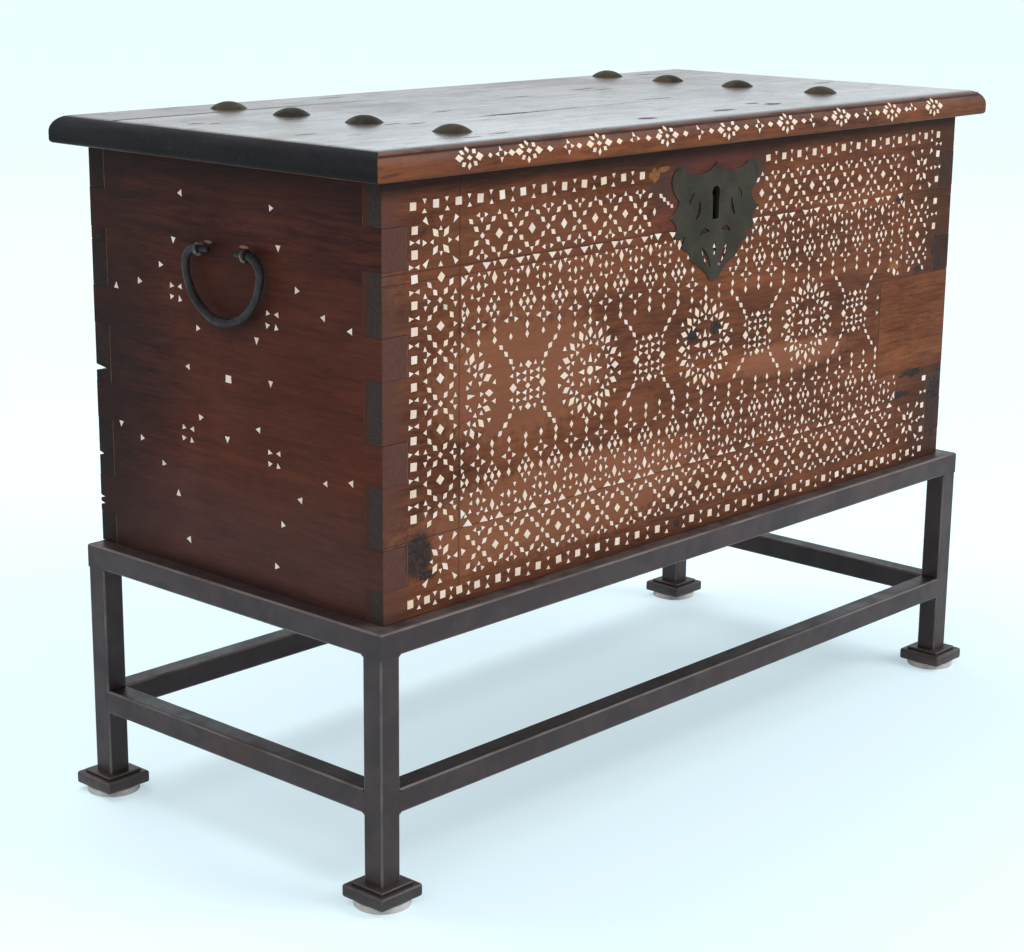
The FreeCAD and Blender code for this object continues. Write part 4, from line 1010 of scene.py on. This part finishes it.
def half_pendants(inlay, below):
    """The pendants that the field's left and right edges cut in half."""
    for edge, inward in ((FIELD_LEFT, 1), (FIELD_RIGHT, -1)):
        for down, width, height in HALF_PENDANT:
            at = edge + (height / 2 + 0.5) * inward
            inlay.lay("triangle", at, FIELD_MIRROR - down if below else down + slope(at), width, height, 90 * inward)
    beside = [chip for chip in MAIN_PENDANT if chip[1]]
    pendant(inlay, beside, FIELD_LEFT - 1, below, (1,))
    pendant(inlay, beside, FIELD_RIGHT + 1, below, (-1,))


def field(inlay):
    for below, axes in ((False, UPPER_AXES), (True, LOWER_AXES)):
        between = [(first + second) / 2 for first, second in zip(axes, axes[1:])]
        for across in axes:
            pendant(inlay, MAIN_PENDANT, across, below)
        for across in [OUTER_AXES[0], *between, OUTER_AXES[1]]:
            pendant(inlay, SIDE_PENDANT, across, below)
        half_pendants(inlay, below)


def rosette(inlay, across, down):
    """A ring of petals round a star, with small triangles between the petals."""

    def petal(kind, turn, far, width, height, flip=0.0):
        at, low = around(across, down, turn, far)
        if FIELD_LEFT + 1 < at < FIELD_RIGHT - 1:
            inlay.lay(kind, at, low, width, height, turn + flip)

    for kind, far, count, width, height, shift, flip in (
            ("rhomb", 39.2, 16, 7.6, 12.8, 0.0, 0.0), ("triangle", 46.3, 16, 5.6, 5.2, 0.5, 180),
            ("triangle", 35.2, 16, 5.6, 5.2, 0.5, 0.0), ("triangle", 29.3, 16, 5.8, 5.4, 0.0, 0.0),
            ("triangle", 19.6, 4, 5.2, 5.0, 0.5, 0.0), ("triangle", 11.4, 4, 5.0, 4.8, 0.5, 180)):
        for index in range(count):
            petal(kind, 360 * (index + shift) / count, far, width, height, flip)
    for turn, far, width, height in (
            (0, 13.5, 6.2, 10), (90, 15, 5.6, 11), (180, 13.5, 5.4, 8), (270, 14.5, 5.6, 10.5)):
        petal("triangle", turn, far, width, height)
    if FIELD_LEFT < across < FIELD_RIGHT:
        inlay.lay("disc", across, down, 9, 9)


def star_square(inlay, across, down):
    """Four groups of four triangles round a lozenge, with chains of chips out of the corners."""
    inlay.lay("rhomb", across, down, 7, 7)
    for side in (-1, 1):
        inlay.lay("rhomb", across, down + side * 21, 9.5, 8)
        inlay.lay("rhomb", across + side * 21.5, down, 10, 10)
        for low in (-1, 1):
            for row in (-3.5, 3.5):
                inlay.pair("triangle", across + side * 9.6, down + low * 9.8 + row, 3.7, 5.4, 5.8, -90)
            inlay.lay("triangle", across + side * 10.7, down + low * 22.5, 5, 5, 0 if low < 0 else 180)
            inlay.lay("triangle", across + side * 24.5, down + low * 12, 5, 5, 90 * side)
            inlay.lay("triangle", across + side * 22, down + low * 20.5, 5, 5, way_of(side, low))
            for right, off in ((25.5, 27), (32, 35), (39.5, 42.5)):
                inlay.lay("rhomb", across + side * right, down + low * off, 5.6, 8.8, way_of(side, low))


def front_inlay():
    inlay = Inlay((CHEST_LEFT, CHEST_FRONT, CHEST_TOP), (1, 0, 0), taper=FRONT_TAPER)
    for across, down in PLATE_GAP_CHIPS:
        inlay.lay("triangle", across, down, 5.2, 5.2, 0, 0)
    for across, down in LOCK_CHAIN:
        inlay.lay("rhomb", across, down, 7.4, 5.4, 41, 0)
    inlay.lay("rhomb", 389, 64.5, 5, 9, 0, 0)
    inlay.bare = BARE_PLACES
    for row in BORDERS:
        border(inlay, *row)
    for band in LATTICES:
        lattice(inlay, *band)
    inlay.lay("square", 77, 96, 7, 7, 45)
    inlay.lay("triangle", 109, 367, 8, 6, 90)
    inlay.lay("triangle", 855, 58, 8, 6, -90)
    for across, down in CORNER_FLOWERS:
        corner_flower(inlay, across, down)
    field(inlay)
    for index, across in enumerate(ROSETTES):
        rosette(inlay, across, ROSETTE_DOWN - ROSETTE_RISE * index)
    for index, across in enumerate(STARS):
        star_square(inlay, across, STAR_DOWN - STAR_RISE * index)
    settle(inlay.bed("front_inlay"), "chest", "shell_inlay")


# Loose triangles of an end: across, down and turn; then the middles of the groups of four
END_TRIANGLES = [
    (143, 37, -90), (278, 39, 90), (286, 77, 180), (132, 85, 180), (112, 111, 90), (311, 112, -30), (78, 132, 90),
    (39, 140, 0), (346, 135, -90), (382, 143, -90), (167, 168, 90), (253, 170, 180), (148, 209, -90),
    (272, 209, 180), (168, 258, 80), (252, 257, -90), (207, 275, 180), (39, 286, 180), (74, 295, 90), (108, 316, 90),
    (129, 342, 0), (347, 294, -90), (382, 287, -90), (311, 316, -80), (288, 346, 90), (143, 389, -90), (278, 390, 90),
]
END_CLUSTERS = [(134, 136), (276, 146), (147, 278), (276, 282)]


def end_inlay(name, corner, right):
    """A few loose triangles and groups of four on an end of the chest."""
    inlay = Inlay(corner, right)
    for across, down, turn in END_TRIANGLES:
        inlay.lay("triangle", across, down, 6.8, 6.4, turn, 0)
    for across, down in END_CLUSTERS:
        for side, low_turn in ((-1, 80), (1, -15)):
            inlay.lay("triangle", across + 5.4 * side, down - 5.6, 5.6, 5.9, -96 * side, 0)
            inlay.lay("triangle", across + 5.4 * side, down + 5.6, 5.6, 5.9, low_turn, 0)
    inlay.lay("square", 211, 213, 8.0, 7.6, 0, 0)
    settle(inlay.bed(name), "chest", "shell_inlay")


# The lid's front edge: flowers, the buds between them, and the links as place, width and height
LID_FLOWERS = [117, 198, 300, 405, 507, 610, 711, 812, 900]
LID_BUDS = [160, 255, 354, 457, 560, 658, 763, 855]
LID_LINKS = [(145, 6.5, 4.6), (174.5, 9, 6.5), (228, 9, 6)] + [
    (flower + side * 30, 9, 6) for flower in LID_FLOWERS[2:8] for side in (-1, 1)]
LID_PETALS = [(-8.5, -5.5), (0, -8), (8.5, -5.5), (-8, 5.5), (0, 8), (8, 5.5)]
LID_ROW_DOWN = 12.6


def wrap_on_lid_edge(piece):
    """Bend what is laid flat on the lid's front over its rounded upper edge."""
    pick(piece)
    edit_mode(True)
    bpy.ops.mesh.poke()
    edit_mode(False)
    turn_at = LID_TOP - LID_ROUND
    for vertex in piece.data.vertices:
        above = vertex.co.z - turn_at
        if above > 0:
            angle = above / LID_ROUND
            out = LID_ROUND + LID_LOW.y - vertex.co.y
            vertex.co.y = LID_LOW.y + LID_ROUND - out * math.cos(angle)
            vertex.co.z = turn_at + out * math.sin(angle)


def lid_inlay():
    inlay = Inlay((LID_LOW.x, LID_LOW.y, LID_TOP), (1, 0, 0))
    for across in LID_FLOWERS:
        inlay.lay("rhomb", across, LID_ROW_DOWN, 7.5, 5)
        inlay.pair("rhomb", across, LID_ROW_DOWN, 13.5, 11, 7.4)
        for right, low in LID_PETALS:
            inlay.lay("rhomb", across + right, LID_ROW_DOWN + low, 5.2, 7.2, way_of(right, low))
    for across, width, height in LID_LINKS:
        inlay.lay("rhomb", across, LID_ROW_DOWN, width, height)
    for across in LID_BUDS:
        for turn in (0, 90, 180, 270):
            angle = math.radians(turn)
            inlay.lay("triangle", across + 6.2 * math.sin(angle), LID_ROW_DOWN - 5.8 * math.cos(angle), 4.6, 5.0,
                      turn, 0.15)
    piece = inlay.bed("lid_inlay")
    wrap_on_lid_edge(piece)
    settle(piece, "lid", "shell_inlay")


def lid_bead():
    """A slender half round bead along the lid's front, between two fine lines, uneven from the hand plane."""
    inward, girth, sunk, hidden, uneven = (size * MM for size in (7.85, 1.7, 1.0, 0.15, 0.10))
    lean = math.acos(1 - inward / LID_ROUND)
    out = Vector((0, -math.cos(lean), math.sin(lean)))
    hub = Vector((0, LID_LOW.y + LID_ROUND, LID_TOP - LID_ROUND))
    bpy.ops.mesh.primitive_cylinder_add(vertices=20, radius=girth, depth=2 * (LID_HIGH.x - inward),
                                        location=hub + out * (LID_ROUND - sunk), rotation=(0, math.radians(90), 0))
    bead = new_piece("lid_bead")
    edit_mode(True)
    bpy.ops.mesh.select_mode(type="EDGE")
    bpy.ops.mesh.select_all(action="SELECT")
    bpy.ops.mesh.bisect(plane_co=hub + out * (LID_ROUND - hidden), plane_no=out, use_fill=True, clear_inner=True)
    bpy.ops.mesh.select_all(action="DESELECT")
    edit_mode(False)
    for edge in bead.data.edges:
        first, second = (bead.data.vertices[index].co for index in edge.vertices)
        edge.select = (first - second).length > LID_HIGH.x
    edit_mode(True)
    bpy.ops.mesh.subdivide(number_cuts=80)
    edit_mode(False)
    for vertex in bead.data.vertices:
        vertex.co += out * uneven * noise.noise(Vector((vertex.co.x * 45, 0.3, 0.7)))
    bpy.ops.object.shade_smooth_by_angle(angle=math.radians(40))
    settle(dress(bead, LID_FRONT_WOOD), "lid", "lid_wood")


front_inlay()
end_inlay("left_inlay", (CHEST_LEFT, CHEST_BACK, CHEST_TOP), (0, -1, 0))
end_inlay("right_inlay", (CHEST_RIGHT, CHEST_FRONT, CHEST_TOP), (0, 1, 0))
lid_inlay()
lid_bead()
for spare in BLANKS.values():
    bpy.data.objects.remove(spare)


# Room, light and camera

def floor():
    """A pale floor that turns whiter into the distance and keeps the stand's soft shadow."""
    bpy.ops.mesh.primitive_plane_add(size=90, location=(0, 0, 0))
    ground = new_piece("floor")
    look = Finish("pale floor")
    light = look.add("LightPath").outputs
    seen = look.math("MINIMUM", look.plus(light["Is Camera Ray"], light["Is Glossy Ray"]), 1.0)
    far = look.ease(look.vector("LENGTH", look.place), 0.6, 5.0)
    look.feed_named(
        look.shader, Base_Color=(0.55, 0.66, 0.71), Roughness=0.8, Specular_IOR_Level=0.0,
        Emission_Color=look.mix(far, (0.76, 0.93, 1.0), (0.88, 1.0, 1.0)),
        Emission_Strength=look.times(seen, look.ease(far, 0.0, 1.0, 0.47, 0.64)))
    dress(ground, look.material)


def softbox(name, place, aim, size, power):
    bpy.ops.object.light_add(type="AREA", location=place)
    lamp = bpy.context.object
    lamp.name = name
    lamp.data.shape = "RECTANGLE"
    lamp.data.size, lamp.data.size_y = size
    lamp.data.energy = power
    lamp.rotation_euler = (Vector(aim) - Vector(place)).to_track_quat("-Z", "Y").to_euler()
    return lamp


def room_light():
    """A dim even room, white behind the chest and darker on the camera's side where things mirror it."""
    world = bpy.data.worlds.new("studio")
    bpy.context.scene.world = world
    world.use_nodes = True
    bench = Bench(world.node_tree)
    around_chest = world.node_tree.nodes["Background"]
    bench.feed_named(around_chest, Color=(0.95, 0.98, 1.0), Strength=0.55)
    light = bench.add("LightPath").outputs
    direction = bench.add("TexCoord").outputs["Generated"]
    behind = bench.ease(bench.vector("DOT_PRODUCT", direction, (0.74, 0.67, 0.0)), -0.1, 0.35, 0.3, 1.16)
    overhead = bench.ease(bench.split(direction)[2], 0.35, 0.80, 1.0, 0.35)
    seen = bench.add("Background", (
        bench.mix(light["Is Camera Ray"], (0.87, 0.955, 1.0), (0.97, 1.0, 1.0)),
        bench.any_of(light["Is Camera Ray"], bench.times(behind, overhead))))
    rays = bench.any_of(light["Is Camera Ray"], light["Is Glossy Ray"], light["Is Transmission Ray"])
    blend = bench.add("MixShader", (rays, around_chest.outputs[0], seen.outputs[0]))
    bench.feed(world.node_tree.nodes["World Output"].inputs["Surface"], blend.outputs[0])
    softbox("key", (1.9, -3.2, 2.9), (0.0, 0.0, 0.45), (2.6, 2.2), 114)
    softbox("top", (-0.3, 1.5, 3.2), (0.0, 0.0, 0.0), (2.2, 2.2), 52).visible_glossy = False
    softbox("fill", (-3.4, -0.6, 2.2), (0.0, 0.0, 0.45), (2.6, 2.6), 22)


def photo_camera():
    """The photograph's standpoint, fitted to the stand, the walls and the lid."""
    azimuth, elevation, roll = -47.73, 14.57, 0.58
    bpy.ops.object.camera_add(location=(0, 0, 0))
    camera = bpy.context.object
    camera.name = "photo_camera"
    stand = Matrix.Translation((-1.8724, -1.6401, 0.9362))
    for angle, axis in ((azimuth, "Z"), (90 - elevation, "X"), (roll, "Z")):
        stand = stand @ Matrix.Rotation(math.radians(angle), 4, axis)
    camera.matrix_world = stand
    camera.data.sensor_width = 36
    camera.data.lens = 78.56
    camera.data.shift_x, camera.data.shift_y = -0.0023, 0.0053
    camera.data.clip_end = 200
    bpy.context.scene.camera = camera


floor()
room_light()
photo_camera()
bpy.context.scene.view_settings.view_transform = "Standard"
